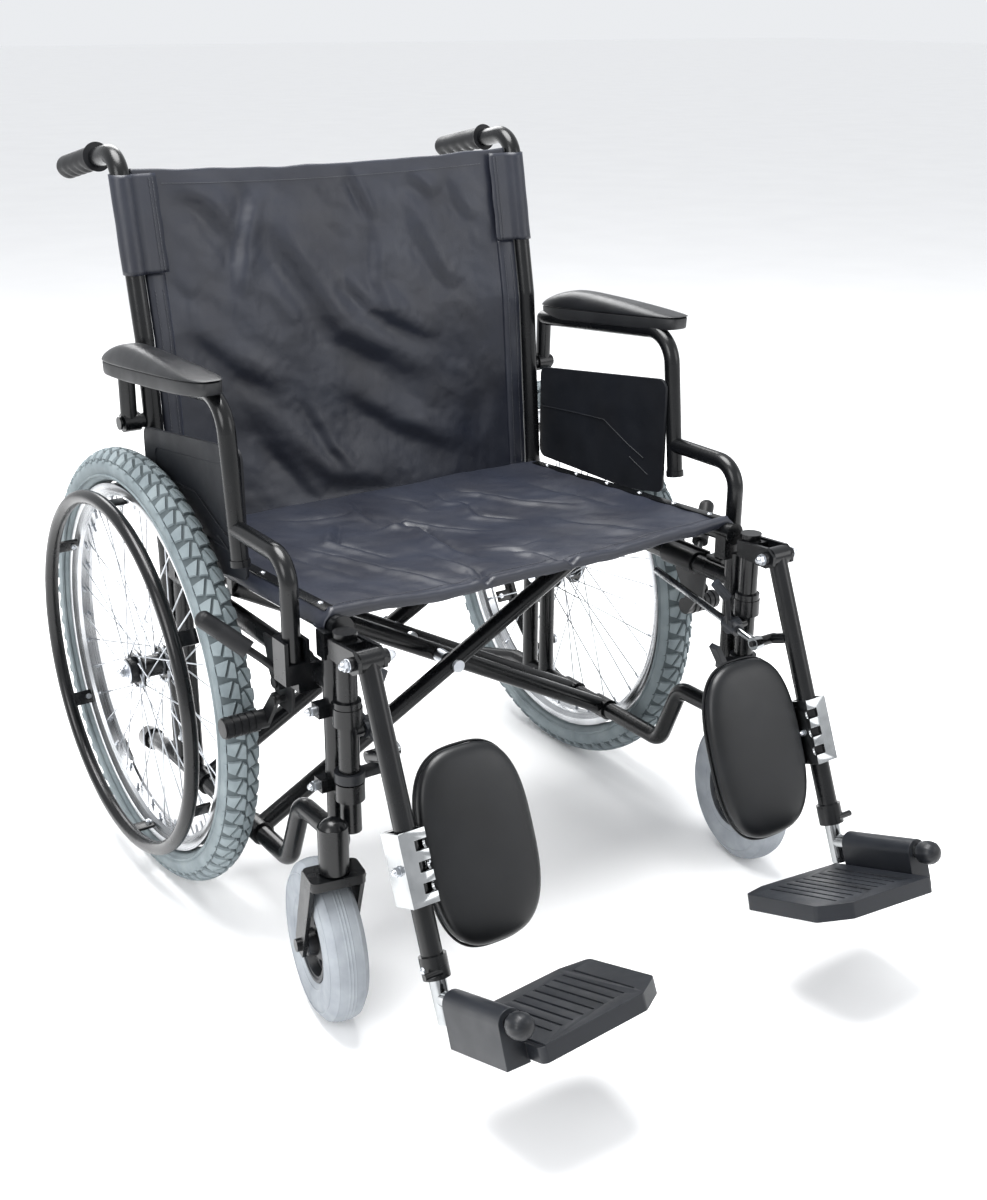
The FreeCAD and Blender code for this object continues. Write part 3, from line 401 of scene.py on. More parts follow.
def piece(name, shape, slot_name, body=None, node=None, crease=38):
    """A mesh object from a bmesh, with its finish. It rides on a body if one is named."""
    mesh = bpy.data.meshes.new(name)
    bmesh.ops.remove_doubles(shape, verts=shape.verts, dist=1e-6)
    bmesh.ops.recalc_face_normals(shape, faces=shape.faces)
    shape.to_mesh(mesh)
    shape.free()
    shade(mesh, crease)
    mesh.materials.append(finish_for(slot_name))
    return settle(put(name, mesh), body, node)


def skin(shape, rows, closed_along=False):
    """Faces between rings of points. The last ring joins the first, or both are capped."""
    grid = [[shape.verts.new(point) for point in row] for row in rows]
    count = len(grid[0])
    for low, high in zip(grid, grid[1:] + (grid[:1] if closed_along else [])):
        for i in range(count):
            j = (i + 1) % count
            shape.faces.new((low[i], low[j], high[j], high[i]))
    if not closed_along:
        shape.faces.new(grid[0][::-1])
        shape.faces.new(grid[-1])


def turn_about_axle(shape, centre, outline, steps):
    """A ring about an axle along X, from a closed list of x offset and radius, in mm."""
    rows = []
    for index in range(steps):
        angle = 2 * math.pi * index / steps
        rows.append([
            centre + Vector((across * MM, radius * MM * math.sin(angle),
                             radius * MM * math.cos(angle)))
            for across, radius in outline
        ])
    skin(shape, rows, closed_along=True)


def circle_outline(centre_radius, radius, steps):
    """x offset and radius round a tube's section, in mm."""
    return [
        (radius * math.sin(2 * math.pi * i / steps),
         centre_radius + radius * math.cos(2 * math.pi * i / steps))
        for i in range(steps)
    ]


def tube(shape, points, radius, steps, up=None):
    """A tube along points. radius is a number or a function of the share along and angle.

    Angles are counted from the up direction, where one is given.
    """
    rows = []
    side = up
    for index, point in enumerate(points):
        ahead = points[min(index + 1, len(points) - 1)]
        behind = points[max(index - 1, 0)]
        way = (ahead - behind).normalized()
        if side is None:
            side = way.orthogonal()
        side = (side - way * side.dot(way)).normalized()
        other = way.cross(side)
        share = index / (len(points) - 1)
        row = []
        for step in range(steps):
            angle = 2 * math.pi * step / steps
            reach = radius(share, angle) if callable(radius) else radius
            row.append(point + (side * math.cos(angle) + other * math.sin(angle)) * reach)
        rows.append(row)
    skin(shape, rows)


def bevelled_block(shape, low, high, rounding):
    """A block between two corners with rounded edges."""
    size = high - low
    made = bmesh.ops.create_cube(shape, size=1.0)["verts"]
    bmesh.ops.scale(shape, vec=size, verts=made)
    bmesh.ops.translate(shape, vec=(low + high) / 2, verts=made)
    edges = list({edge for vert in made for edge in vert.link_edges})
    bmesh.ops.bevel(
        shape, geom=edges, offset=rounding, segments=2, profile=0.6, affect="EDGES"
    )


def softened(node, width_mm, body, slot_name, name):
    """A copy of a CAD node with its sharp edges rounded off, in place of the node."""
    source = frame["nodes"][node]
    made = source.copy()
    made.data = source.data.copy()
    made.name = name
    for key in list(made.keys()):
        if key.startswith("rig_"):
            del made[key]
    made.parent = None
    made.matrix_world = Matrix.Identity(4)
    bpy.context.collection.objects.link(made)
    shape = bmesh.new()
    shape.from_mesh(made.data)
    bmesh.ops.remove_doubles(shape, verts=shape.verts, dist=2e-6)
    bmesh.ops.dissolve_limit(
        shape, angle_limit=math.radians(1.0), verts=shape.verts, edges=shape.edges
    )
    shape.to_mesh(made.data)
    shape.free()
    made.data.materials.clear()
    made.data.materials.append(finish_for(slot_name))
    shade(made.data, 40)
    edge = made.modifiers.new("edge", "BEVEL")
    edge.width = width_mm * MM
    edge.segments = 2
    edge.limit_method = "ANGLE"
    edge.angle_limit = math.radians(32)
    return settle(made, body, node)


# ---- geometry nodes ----------------------------------------------------------
def new_tree(name, inputs):
    """A geometry node tree with named inputs and a geometry in and out."""
    tree = bpy.data.node_groups.new(name, "GeometryNodeTree")
    face = tree.interface
    face.new_socket("Geometry", in_out="INPUT", socket_type="NodeSocketGeometry")
    face.new_socket("Geometry", in_out="OUTPUT", socket_type="NodeSocketGeometry")
    for label, kind, default in inputs:
        socket = face.new_socket(label, in_out="INPUT", socket_type=kind)
        if default is not None:
            socket.default_value = default
    start = add(tree, "NodeGroupInput")
    end = add(tree, "NodeGroupOutput")
    return tree, start, end


def close_tree(tree, start, end, instances):
    """Ends a tree in Realize Instances and Set Material."""
    real = add(tree, "GeometryNodeRealizeInstances", {"Geometry": instances})
    coloured = add(tree, "GeometryNodeSetMaterial", {
        "Geometry": real.outputs["Geometry"], "Material": start.outputs["Finish"],
    })
    tree.links.new(coloured.outputs["Geometry"], end.inputs["Geometry"])
    return tree


def round_axle_tree():
    """Repeats a unit evenly round an axle along X."""
    tree, start, end = new_tree("repeat_round_axle", [
        ("Unit", "NodeSocketObject", None), ("Count", "NodeSocketInt", 12),
        ("Centre", "NodeSocketVector", None), ("Finish", "NodeSocketMaterial", None),
    ])
    points = add(tree, "GeometryNodePoints", {
        "Count": start.outputs["Count"], "Position": start.outputs["Centre"],
    })
    unit = add(tree, "GeometryNodeObjectInfo", {"Object": start.outputs["Unit"]})
    place = add(tree, "GeometryNodeInputIndex")
    share = add(tree, "ShaderNodeMath", {
        0: place.outputs["Index"], 1: start.outputs["Count"],
    }, operation="DIVIDE")
    angle = add(tree, "ShaderNodeMath", {0: share.outputs["Value"]}, operation="MULTIPLY")
    angle.inputs[1].default_value = -2 * math.pi
    turn = add(tree, "ShaderNodeCombineXYZ", {"X": angle.outputs["Value"]})
    laid = add(tree, "GeometryNodeInstanceOnPoints", {
        "Points": points.outputs["Points"], "Instance": unit.outputs["Geometry"],
        "Rotation": turn.outputs["Vector"],
    })
    return close_tree(tree, start, end, laid.outputs["Instances"])


def on_points_tree():
    """Puts a unit on each point of a mesh, aimed by its aim attribute and sized by size."""
    tree, start, end = new_tree("fix_on_points", [
        ("Unit", "NodeSocketObject", None), ("Size", "NodeSocketFloat", 1.0),
        ("Finish", "NodeSocketMaterial", None),
    ])
    unit = add(tree, "GeometryNodeObjectInfo", {"Object": start.outputs["Unit"]})
    aim = add(tree, "GeometryNodeInputNamedAttribute", data_type="FLOAT_VECTOR",
              values={"Name": "aim"})
    run = add(tree, "GeometryNodeInputNamedAttribute", data_type="FLOAT_VECTOR",
              values={"Name": "run"})
    size = add(tree, "GeometryNodeInputNamedAttribute", data_type="FLOAT",
               values={"Name": "size"})
    scale = add(tree, "ShaderNodeMath", {
        0: size.outputs["Attribute"], 1: start.outputs["Size"],
    }, operation="MULTIPLY")
    upright = add(tree, "FunctionNodeAlignRotationToVector", {
        "Vector": aim.outputs["Attribute"]}, axis="Z")
    turned_to = add(tree, "FunctionNodeAlignRotationToVector", {
        "Rotation": upright.outputs["Rotation"], "Vector": run.outputs["Attribute"],
    }, axis="X", pivot_axis="Z")
    laid = add(tree, "GeometryNodeInstanceOnPoints", {
        "Points": start.outputs["Geometry"], "Instance": unit.outputs["Geometry"],
        "Rotation": turned_to.outputs["Rotation"], "Scale": scale.outputs["Value"],
    })
    return close_tree(tree, start, end, laid.outputs["Instances"])


TREES = {}


def tree_named(name, maker):
    """A geometry node tree, built once."""
    if name not in TREES:
        TREES[name] = maker()
    return TREES[name]


def grown(name, base, tree, inputs, slot_name, body):
    """Runs a tree on a base mesh and keeps the result as a plain mesh riding on a body."""
    carrier = put(name + "_carrier", base)
    rule = carrier.modifiers.new("rule", "NODES")
    rule.node_group = tree
    sockets = {s.name: s.identifier for s in tree.interface.items_tree if s.in_out == "INPUT"}
    inputs = dict(inputs, Finish=finish_for(slot_name))
    for label, value in inputs.items():
        rule[sockets[label]] = value
    bpy.context.view_layer.update()
    graph = bpy.context.evaluated_depsgraph_get()
    result = bpy.data.meshes.new_from_object(carrier.evaluated_get(graph))
    result.name = name
    made = put(name, result)
    carrier.modifiers.remove(rule)
    bpy.data.objects.remove(carrier)
    if not len(result.polygons):
        raise RuntimeError(name + " came out empty")
    if not result.materials or result.materials[0] is None:
        result.materials.clear()
        result.materials.append(finish_for(slot_name))
    return settle(made, body)


def unit_from(name, shape, crease=38):
    """A unit that a tree repeats. It is removed once it has been used."""
    bmesh.ops.recalc_face_normals(shape, faces=shape.faces)
    mesh = bpy.data.meshes.new(name)
    shape.to_mesh(mesh)
    shape.free()
    shade(mesh, crease)
    return put(name, mesh)


def discard(*things):
    """Removes helper objects."""
    for thing in things:
        bpy.data.objects.remove(thing)


def round_axle(name, shape, count, centre, slot_name, body):
    """Repeats a unit drawn above the origin round an axle, as one piece."""
    unit = unit_from(name + "_unit", shape)
    made = grown(
        name, bpy.data.meshes.new(name + "_base"), tree_named("axle", round_axle_tree),
        {"Unit": unit, "Count": count, "Centre": centre}, slot_name, body,
    )
    discard(unit)
    return made


def on_points(name, places, unit, slot_name, body, size=1.0):
    """Puts a unit at each place: a list of point, aim, run and size."""
    base = bpy.data.meshes.new(name + "_base")
    base.from_pydata([tuple(row[0]) for row in places], [], [])
    for label, column in (("aim", 1), ("run", 2)):
        layer = base.attributes.new(label, "FLOAT_VECTOR", "POINT")
        layer.data.foreach_set("vector", [c for row in places for c in row[column]])
    layer = base.attributes.new("size", "FLOAT", "POINT")
    layer.data.foreach_set("value", [row[3] for row in places])
    return grown(
        name, base, tree_named("points", on_points_tree), {"Unit": unit, "Size": size},
        slot_name, body,
    )


# ---- wheels ------------------------------------------------------------------
TYRE_CENTRE_R = 278.0
TYRE_HALF_W = 23.4
TYRE_CROWN = 21.4
TREAD_PITCHES = 72
TREAD_DEPTH = 3.5
SPOKES = 36
WHEEL_STEPS = 160            # faces round a rear wheel
PUSH_RING_X, PUSH_RING_R = 48.5, 243.5
PUSH_RING_TABS = 6
TREAD_BLOCKS = (
    # corners of the blocks of one pitch: degrees round the section, mm along the tyre
    ((61, 4), (61, 19), (15, 22.5), (35, 1.5)),
    ((30, 0), (11, 20), (1.5, 17), (3, -3)),
    ((70, 8), (70, 15), (62, 17), (62, 6)),
    ((-61, 17), (-61, 32), (-15, 35.5), (-35, 14.5)),
    ((-30, 13), (-11, 33), (-1.5, 30), (-3, 10)),
    ((-70, 21), (-70, 28), (-62, 30), (-62, 19)),
)


def on_tyre(angle, along, lift):
    """A point above the axle on the tyre: degrees round the section, mm along, mm off it."""
    turn = math.radians(angle)
    across = (TYRE_HALF_W + 0.5 * lift) * math.sin(turn)
    radius = TYRE_CENTRE_R + (TYRE_CROWN + lift) * math.cos(turn)
    way = along / (TYRE_CENTRE_R + TYRE_CROWN)
    return Vector((across, radius * math.sin(way), radius * math.cos(way))) * MM


def tread_unit():
    """One pitch of tread: leaning blocks on the crown and nubs on both shoulders."""
    shape = bmesh.new()
    for corners in TREAD_BLOCKS:
        middle = [sum(c[k] for c in corners) / 4 for k in (0, 1)]
        small = [[m + (c - m) * 0.86 for c, m in zip(corner, middle)] for corner in corners]
        steps = 3 if abs(corners[0][0] - corners[2][0]) > 12 else 1
        rows = []
        for i in range(steps + 1):
            share = i / steps
            ends = []
            for ring, lift in ((corners, -1.0), (small, TREAD_DEPTH)):
                for first, last in ((0, 3), (1, 2)):
                    spot = [ring[first][k] + (ring[last][k] - ring[first][k]) * share
                            for k in (0, 1)]
                    ends.append(on_tyre(spot[0], spot[1], lift))
            rows.append([ends[0], ends[2], ends[3], ends[1]])
        skin(shape, rows)
    return shape


RIM_OUTLINE = [
    (-16.4, 256.8), (-17.4, 253), (-16.6, 247), (-11, 240), (-6, 237.6), (6, 237.6),
    (11, 240), (16.6, 247), (17.4, 253), (16.4, 256.8), (12, 256.2), (0, 253.5), (-12, 256.2),
]


def nipple_unit():
    """The nippled ends of two neighbouring spokes at the rim."""
    shape = bmesh.new()
    for sign, turn in ((-1, 0.0), (1, -2 * math.pi / SPOKES)):
        for low, high, radius in ((226, 238.5, 1.9), (236, 239, 3.2)):
            before = len(shape.verts)
            tube(shape, [Vector((sign * 3.2 * MM, 0, low * MM)),
                         Vector((sign * 3.0 * MM, 0, high * MM))], radius * MM, 8)
            shape.verts.ensure_lookup_table()
            bmesh.ops.transform(
                shape, matrix=Matrix.Rotation(turn, 4, "X"), verts=shape.verts[before:]
            )
    return shape


def tab_unit(sign):
    """One of the tabs that hold the push ring to the rim."""
    shape = bmesh.new()
    low, high = sorted((sign * 15.0, sign * PUSH_RING_X))
    bevelled_block(
        shape, Vector((low, -10, 238)) * MM, Vector((high, 10, 242.5)) * MM, 1.2 * MM
    )
    return shape


def build_rear_wheels(sizes):
    """Tyres, tread, rims, nipples, hubs and push rings."""
    for side, sign in SIDES.items():
        body = side + "_rear_wheel"
        centre = Vector((sign * WHEEL.x, WHEEL.y, WHEEL.z))
        shape = bmesh.new()
        outline = []
        for i in range(28):
            angle = 2 * math.pi * i / 28
            across, radius = TYRE_HALF_W * math.sin(angle), TYRE_CROWN * math.cos(angle)
            outline.append((across, TYRE_CENTRE_R + max(radius, -19.5)))
        turn_about_axle(shape, centre, outline, WHEEL_STEPS)
        for offset in (-1, 1):
            turn_about_axle(shape, centre, [
                (offset * 21.0, 266), (offset * 23.6, 267.2), (offset * 23.6, 268.8),
                (offset * 21.6, 270),
            ], WHEEL_STEPS)
        carcass = piece(side + "_tyre_carcass", shape, "grey_tyre", body, side + "_rear_tyre")
        # painted shade: carcass faces on the crown, between the tread blocks, take the darker rubber
        carcass.data.materials.append(finish_for("tyre_groove_painted_shade"))
        for face in carcass.data.polygons:
            off = face.center - centre
            if math.hypot(off.y, off.z) > (TYRE_CENTRE_R + 11.0) * MM:
                face.material_index = 1
        round_axle(side + "_tyre_tread", tread_unit(), TREAD_PITCHES, centre, "grey_tyre", body)
        shape = bmesh.new()
        turn_about_axle(shape, centre, RIM_OUTLINE, WHEEL_STEPS)
        piece(side + "_rim", shape, "rim_alloy", body, side + "_rear_rim", crease=25)
        round_axle(side + "_spoke_nipples", nipple_unit(), SPOKES // 2, centre,
                   "fastener_zinc", body)
        shape = bmesh.new()
        ring_centre = centre + Vector((sign * PUSH_RING_X * MM, 0, 0))
        section = circle_outline(PUSH_RING_R, sizes.ring_tube / MM, 20)
        turn_about_axle(shape, ring_centre, section, 144)
        piece(side + "_push_ring", shape, "frame_paint", body, side + "_handrim")
        round_axle(side + "_push_ring_tabs", tab_unit(sign), PUSH_RING_TABS, centre,
                   "frame_paint", body)
        shape = bmesh.new()
        for low, high, radius, steps in ((234.6, 238.4, 4.4, 6), (232.8, 235.0, 2.6, 10)):
            tube(shape, [Vector((sign * 21, 0, low)) * MM, Vector((sign * 21, 0, high)) * MM],
                 radius * MM, steps)
        round_axle(side + "_push_ring_screws", shape, PUSH_RING_TABS, centre,
                   "fastener_zinc", body)
        shape = bmesh.new()
        for offset, radius in ((-16.0, 16.2), (14.0, 16.6), (-21.5, 27.4), (16.6, 27.4)):
            turn_about_axle(shape, centre, [
                (offset, radius - 3), (offset, radius), (offset + 2.2, radius),
                (offset + 2.2, radius - 3),
            ], 48)
        cap = [(31.4, 7), (31.4, 15.5), (33.2, 16.5), (34.6, 15), (35, 7)]
        turn_about_axle(shape, centre, [(sign * x, r) for x, r in cap], 48)
        piece(side + "_hub_bands", shape, "fastener_zinc", body)


def build_casters(sizes):
    """Solid ribbed tyres on moulded wheel centres, with softened forks."""
    turn = Matrix.Rotation(math.radians(-10), 4, "Z")
    for side in SIDES:
        body = side + "_caster_wheel"
        centre = joint_place(side + "_caster_spin")
        outline = [(-19, 49.6), (-21.5, 55), (-24.4, 63), (-25.0, 71), (-24.6, 80),
                   (-22.6, 87.5), (-18.5, 93.5)]
        crown = []
        for step in range(17):
            across = -16 + 2 * step
            swell = 99.9 - 3.4 * (across / 16) ** 2
            crown.append((across, swell - (0.9 if step % 2 else 0.0)))
        outline = outline + crown + [(-a, r) for a, r in reversed(outline)]
        shape = bmesh.new()
        turn_about_axle(shape, Vector(), outline, 120)
        for offset in (-1, 1):
            for radius in (58.0, 84.5):
                ridge = 24.2 if radius > 60 else 22.8
                turn_about_axle(shape, Vector(), [
                    (offset * (ridge - 1.5), radius - 1.6), (offset * ridge, radius - 0.8),
                    (offset * ridge, radius + 0.8), (offset * (ridge - 1.5), radius + 1.6),
                ], 96)
        place = Matrix.Translation(centre) @ turn
        bmesh.ops.transform(shape, matrix=place, verts=shape.verts)
        piece(side + "_caster_tread", shape, "caster_rubber", body, side + "_caster_tyre",
              crease=50)
        shape = bmesh.new()
        for offset in (-1, 1):
            turn_about_axle(shape, Vector(), [
                (offset * 19.2, 44.5), (offset * 20.6, 46), (offset * 20.6, 49.4),
                (offset * 19.0, 50.4),
            ], 72)
            turn_about_axle(shape, Vector(), [
                (offset * 25.8, 5.6), (offset * 25.8, 12.0), (offset * 27.6, 11.0),
                (offset * 27.8, 5.6),
            ], 40)
        bmesh.ops.transform(shape, matrix=place, verts=shape.verts)
        piece(side + "_caster_centre_lip", shape, "hub_plastic", body)
        softened(side + "_caster_fork", 1.0, side + "_caster_fork", "fork_paint",
                 side + "_caster_fork_soft")


# ---- slings ------------------------------------------------------------------
SEAT_HALF_W = 300.0
SEAT_FRONT_Y = -430.0
SEAT_REAR_Y = 6.0


def rail_z(y):
    """Height of a seat rail's axis, in mm."""
    return 498.6 - 0.056 * (y + 450.0)


def nearest_on(x, y, line):
    """Signed distance from a line of points, and how far along it that is, from 0 to 1."""
    best = None
    for index, (start, end) in enumerate(zip(line, line[1:])):
        dx, dy = end[0] - start[0], end[1] - start[1]
        length = math.hypot(dx, dy)
        along = ((x - start[0]) * dx + (y - start[1]) * dy) / length ** 2
        held = min(1.0, max(0.0, along))
        gap = math.hypot(x - start[0] - held * dx, y - start[1] - held * dy)
        side = (x - start[0]) * dy - (y - start[1]) * dx
        if best is None or gap < abs(best[0]):
            best = (math.copysign(gap, side), (index + held) / (len(line) - 1))
    return best


def fading(share):
    """1 along the middle of a fold, falling to 0 at both ends."""
    return min(1.0, 4.5 * share * (1 - share) + 0.05)


def crease(x, y, line, width, depth):
    """A pinched line in taut cloth: a narrow valley with a soft roll beside it."""
    off, share = nearest_on(x, y, line)
    if abs(off) > 8 * width:
        return 0.0
    valley = -1.5 * depth * math.exp(-abs(off / width) ** 1.2)
    roll = 1.1 * depth * math.exp(-((off - 2.2 * width) / (1.7 * width)) ** 2)
    return (valley + roll) * fading(share)


def drape(x, y, line, width, height):
    """A broad fold: high on one side of the line, low on the other, steep along it."""
    off, share = nearest_on(x, y, line)
    near = off / width
    if abs(near) > 4:
        return 0.0
    return -1.5 * height * near * math.exp(-abs(near) ** 1.5) * fading(share)


SEAT_CREASES = (
    # points (x, y) in mm, width, depth
    (((-195, -170), (-170, -230), (-145, -320), (-112, -418)), 5.0, 5.0),
    (((-105, -100), (-150, -170), (-135, -215), (-115, -270)), 5.0, 5.0),
    (((-35, -125), (-15, -175), (-30, -255), (-30, -345)), 6.0, 5.5),
    (((-70, -270), (-70, -335), (-66, -385), (-80, -425)), 5.0, 5.0),
    (((115, -45), (140, -90), (165, -160), (210, -225)), 5.0, 4.6),
    (((95, -105), (80, -170), (125, -230)), 5.0, 3.6),
    (((15, -330), (38, -370), (42, -426)), 5.0, 4.6),
    (((-35, -15), (-50, -65), (-55, -120)), 5.0, 3.6),
    (((85, -40), (80, -90), (100, -120)), 4.0, 3.2),
    (((-5, -285), (35, -320), (80, -312)), 5.0, 3.4),
    (((-95, -145), (-15, -122), (15, -190), (60, -240)), 5.0, 3.8),
    (((-240, -110), (-215, -250), (-190, -360)), 9.0, 3.0),
    (((150, -250), (190, -330), (205, -400)), 9.0, 2.6),
    (((215, -60), (235, -170), (245, -280)), 9.0, 2.4),
    (((-180, -20), (-120, -55), (-60, -60)), 7.0, 2.6),
    (((20, -20), (45, -60), (40, -110)), 5.0, 2.6),
)
SEAT_TUCKS = (-84.0, 46.0)


def seat_height(x, y):
    """Height of the seat cloth in mm: a shallow sag between the rails with creases."""
    share = x / SEAT_HALF_W
    sag = 13.0 * (1 - share * share) * min(1.0, 0.3 + 0.7 * (SEAT_REAR_Y - y) / 220.0)
    folds = sum(crease(x, y, *fold) for fold in SEAT_CREASES)
    drift = 3.0 * noise.noise(Vector((x * 0.010, y * 0.013, 3.7)))
    drift += 1.1 * noise.noise(Vector((x * 0.045 + y * 0.02, y * 0.04, 8.1)))
    for tuck in SEAT_TUCKS:
        reach = max(0.0, 1 - (y - SEAT_FRONT_Y) / 60.0)
        drift -= 5.0 * reach * math.exp(-((x - tuck) / 6.0) ** 2)
    held = max(0.0, min(1.0, (SEAT_HALF_W - abs(x)) / 60.0))
    puckers = 1.1 * math.sin(y * 0.11) * max(0.0, 1 - (SEAT_HALF_W - abs(x)) / 55.0) ** 2
    return rail_z(y) + 15.4 - sag + (folds + drift) * held + puckers


def cloth_piece(name, rows, thick_mm, flat_uv, body=None):
    """A sheet from rows of points, given thickness, smoothed and finished in nylon."""
    shape = bmesh.new()
    uv = shape.loops.layers.uv.new("cloth")
    grid = [[shape.verts.new(point) for point in row] for row in rows]
    for j in range(len(grid) - 1):
        for i in range(len(grid[0]) - 1):
            corners = ((j, i), (j, i + 1), (j + 1, i + 1), (j + 1, i))
            face = shape.faces.new([grid[a][b] for a, b in corners])
            for loop, (a, b) in zip(face.loops, corners):
                loop[uv].uv = flat_uv(a, b)
    mesh = bpy.data.meshes.new(name)
    shape.to_mesh(mesh)
    shape.free()
    mesh.polygons.foreach_set("use_smooth", [True] * len(mesh.polygons))
    mesh.materials.append(finish_for("sling_nylon"))
    made = put(name, mesh)
    body_of_cloth = made.modifiers.new("thickness", "SOLIDIFY")
    body_of_cloth.thickness = thick_mm * MM
    body_of_cloth.offset = 0.0
    return settle(made, body)


def stitch_unit():
    """One stitch: a short rounded bar of thread."""
    shape = bmesh.new()
    points = [Vector((x * MM, 0, z * MM)) for x, z in ((-1.6, -0.1), (-0.8, 0.4), (0.8, 0.4),
                                                       (1.6, -0.1))]
    tube(shape, points, 0.42 * MM, 5)
    return unit_from("stitch_unit", shape)


def stitches(name, line, aim, pitch_mm, body):
    """A row of stitches along a line of points, on cloth that faces aim."""
    places = []
    carried = 0.0
    for here, ahead in zip(line, line[1:]):
        step = ahead - here
        length = step.length
        while carried < length:
            point = here + step * (carried / length)
            places.append((point, aim, step.normalized(), 1.0))
            carried += pitch_mm * MM
        carried -= length
    unit = stitch_unit()
    made = on_points(name, places, unit, "thread", body)
    discard(unit)
    return made


def build_seat(sizes):
    """The seat sling, wrapped over both rails, with its hem, stitches and rail screws."""
    columns, depth = 210, 165
    across = [-1 + 2 * i / columns for i in range(columns + 1)]
    hem = [(20, -9.4), (12, -10.6), (4, -10.4), (-2.5, -7.8), (-5.6, -3.0), (-5.0, 1.6),
           (-1.4, 4.4), (3.2, 4.2), (7.0, 1.8), (10.0, -0.4), (13.0, -0.6)]
    lines = [(SEAT_FRONT_Y + dy, dz) for dy, dz in hem]
    lines += [(SEAT_FRONT_Y + 16 + (SEAT_REAR_Y - SEAT_FRONT_Y - 16) * j / depth, 0.0)
              for j in range(depth + 1)]
    wrap = []
    for index, (y, dz) in enumerate(lines):
        points = []
        for share in across:
            x = share * SEAT_HALF_W
            slack = 1 - abs(share) ** 3
            pinch = max(math.exp(-((x - tuck) / 7.0) ** 2) for tuck in SEAT_TUCKS)
            bow = 7.0 * slack * max(0.0, min(1.0, (-330 - y) / 100.0))
            bow += 16.0 * (1 - share ** 8) * max(0.0, (y + 60) / (SEAT_REAR_Y + 60)) ** 2
            z = seat_height(x, max(y, SEAT_FRONT_Y))
            ripple = 1.6 * noise.noise(Vector((x * 0.02, index * 0.15, 7.0))) if dz else 0.0
            roll = dz * (1 - 0.55 * pinch) + ripple
            points.append(at(x, y + bow, z + roll))
        for sign in (-1, 1):
            extra = []
            for angle in (30, 60, 88, 104):
                turn = math.radians(angle)
                x = sign * (RAIL_X + WRAP_R * math.sin(turn))
                extra.append(at(x, y, rail_z(y) + WRAP_R * math.cos(turn) + dz * 0.2))
            points = points + extra if sign > 0 else extra[::-1] + points
        wrap.append(points)
    seat = cloth_piece("seat_cloth", wrap, 1.6, lambda a, b: (b * 0.0029, a * 0.0027))
    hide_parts("seat_sling")
    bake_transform(seat)
    edge_line = [at(300 * s * 0.985, SEAT_FRONT_Y + 20 + 7 * (1 - abs(s) ** 3),
                    seat_height(295 * s, SEAT_FRONT_Y + 20) + 0.9) for s in
                 [-1 + 2 * i / 80 for i in range(81)]]
    up = Vector((0, 0, 1))
    sewn = stitches("seat_front_stitches", edge_line, up, 4.6, None)
    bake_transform(sewn)
    for body, sign in (("cross_a", 1), ("cross_b", -1)):
        shape = bmesh.new()
        bevelled_block(
            shape, at(sign * RAIL_X - 7, SEAT_FRONT_Y + 6, 0),
            at(sign * RAIL_X + 7, SEAT_REAR_Y - 6, 2.4), 0.5 * MM,
        )
        for vert in shape.verts:
            y = (vert.co.y - AXLE_Y) / MM
            vert.co.z += (rail_z(y) + 15.0) * MM
        piece(body + "_seat_strip", shape, "frame_paint", body)
        places = []
        for index in range(6):
            y = SEAT_FRONT_Y + 30 + index * 74.0
            places.append((at(sign * RAIL_X, y, rail_z(y) + 17.2), up, Vector((1, 0, 0)), 0.8))
        unit = screw_unit()
        on_points(body + "_seat_screws", places, unit, "fastener_zinc", body)
        discard(unit)


CANE = ((22.0, 460.0), (45.0, 743.0), (90.0, 976.0))
BACK_LOW, BACK_HIGH = 468.0, 951.0
BACK_HALF = 292.0
BACK_FOLDS = (
    # points (x, z) in mm from the top down, width, height
    (((-250, 932), (-195, 905), (-140, 835)), 20.0, 9.0),
    (((-112, 890), (-70, 810), (-10, 715), (145, 622)), 27.0, 14.0),
    (((0, 795), (40, 745), (150, 688)), 17.0, 9.0),
    (((-122, 925), (-145, 855), (-166, 778)), 16.0, 10.0),
    (((30, 944), (62, 862)), 9.0, 8.0),
    (((110, 895), (160, 790), (182, 756)), 18.0, 7.0),
    (((-122, 788), (-78, 732)), 16.0, 5.0),
    (((-258, 762), (-175, 685), (-100, 638)), 18.0, 8.0),
    (((-185, 645), (-50, 512), (65, 480)), 26.0, 10.0),
    (((-12, 632), (70, 575), (178, 520)), 20.0, 9.0),
    (((-86, 648), (-40, 555), (-12, 518)), 13.0, 6.0),
    (((125, 930), (168, 886)), 14.0, 6.0),
    (((-262, 818), (-228, 782)), 12.0, 5.0),
    (((190, 922), (222, 850)), 16.0, 5.0),
    (((-142, 588), (-66, 482)), 15.0, 6.0),
    (((62, 862), (52, 780), (70, 730)), 14.0, 6.0),
    (((200, 700), (240, 600), (215, 520)), 26.0, 5.0),
)


def cane_y(z):
    """Back cane's axis at height z, in mm."""
    low, high = CANE[:2] if z < CANE[1][1] else CANE[1:]
    return low[0] + (z - low[1]) / (high[1] - low[1]) * (high[0] - low[0])


def back_offset(x, z):
    """How far the back cloth stands in front of the canes' plane, in mm."""
    share = x / BACK_HALF
    folds = sum(drape(x, z, *fold) for fold in BACK_FOLDS)
    drift = 4.0 * noise.noise(Vector((x * 0.008, z * 0.009, 1.3)))
    drift += 1.6 * noise.noise(Vector((x * 0.03 + z * 0.02, z * 0.03, 5.2)))
    drift += 0.5 * noise.noise(Vector((x * 0.09, z * 0.08, 2.2)))
    held = max(0.0, min(1.0, (BACK_HALF - 22 - abs(x)) / 50.0))
    edge = max(0.3, min(1.0, (BACK_HIGH - z) / 45.0, (z - BACK_LOW + 20) / 40.0))
    low = max(0.0, min(1.0, (z - BACK_LOW) / 120.0))
    belly = -12.0 * (1 - share * share) * low - 3.0
    return belly + (folds + drift) * held * edge


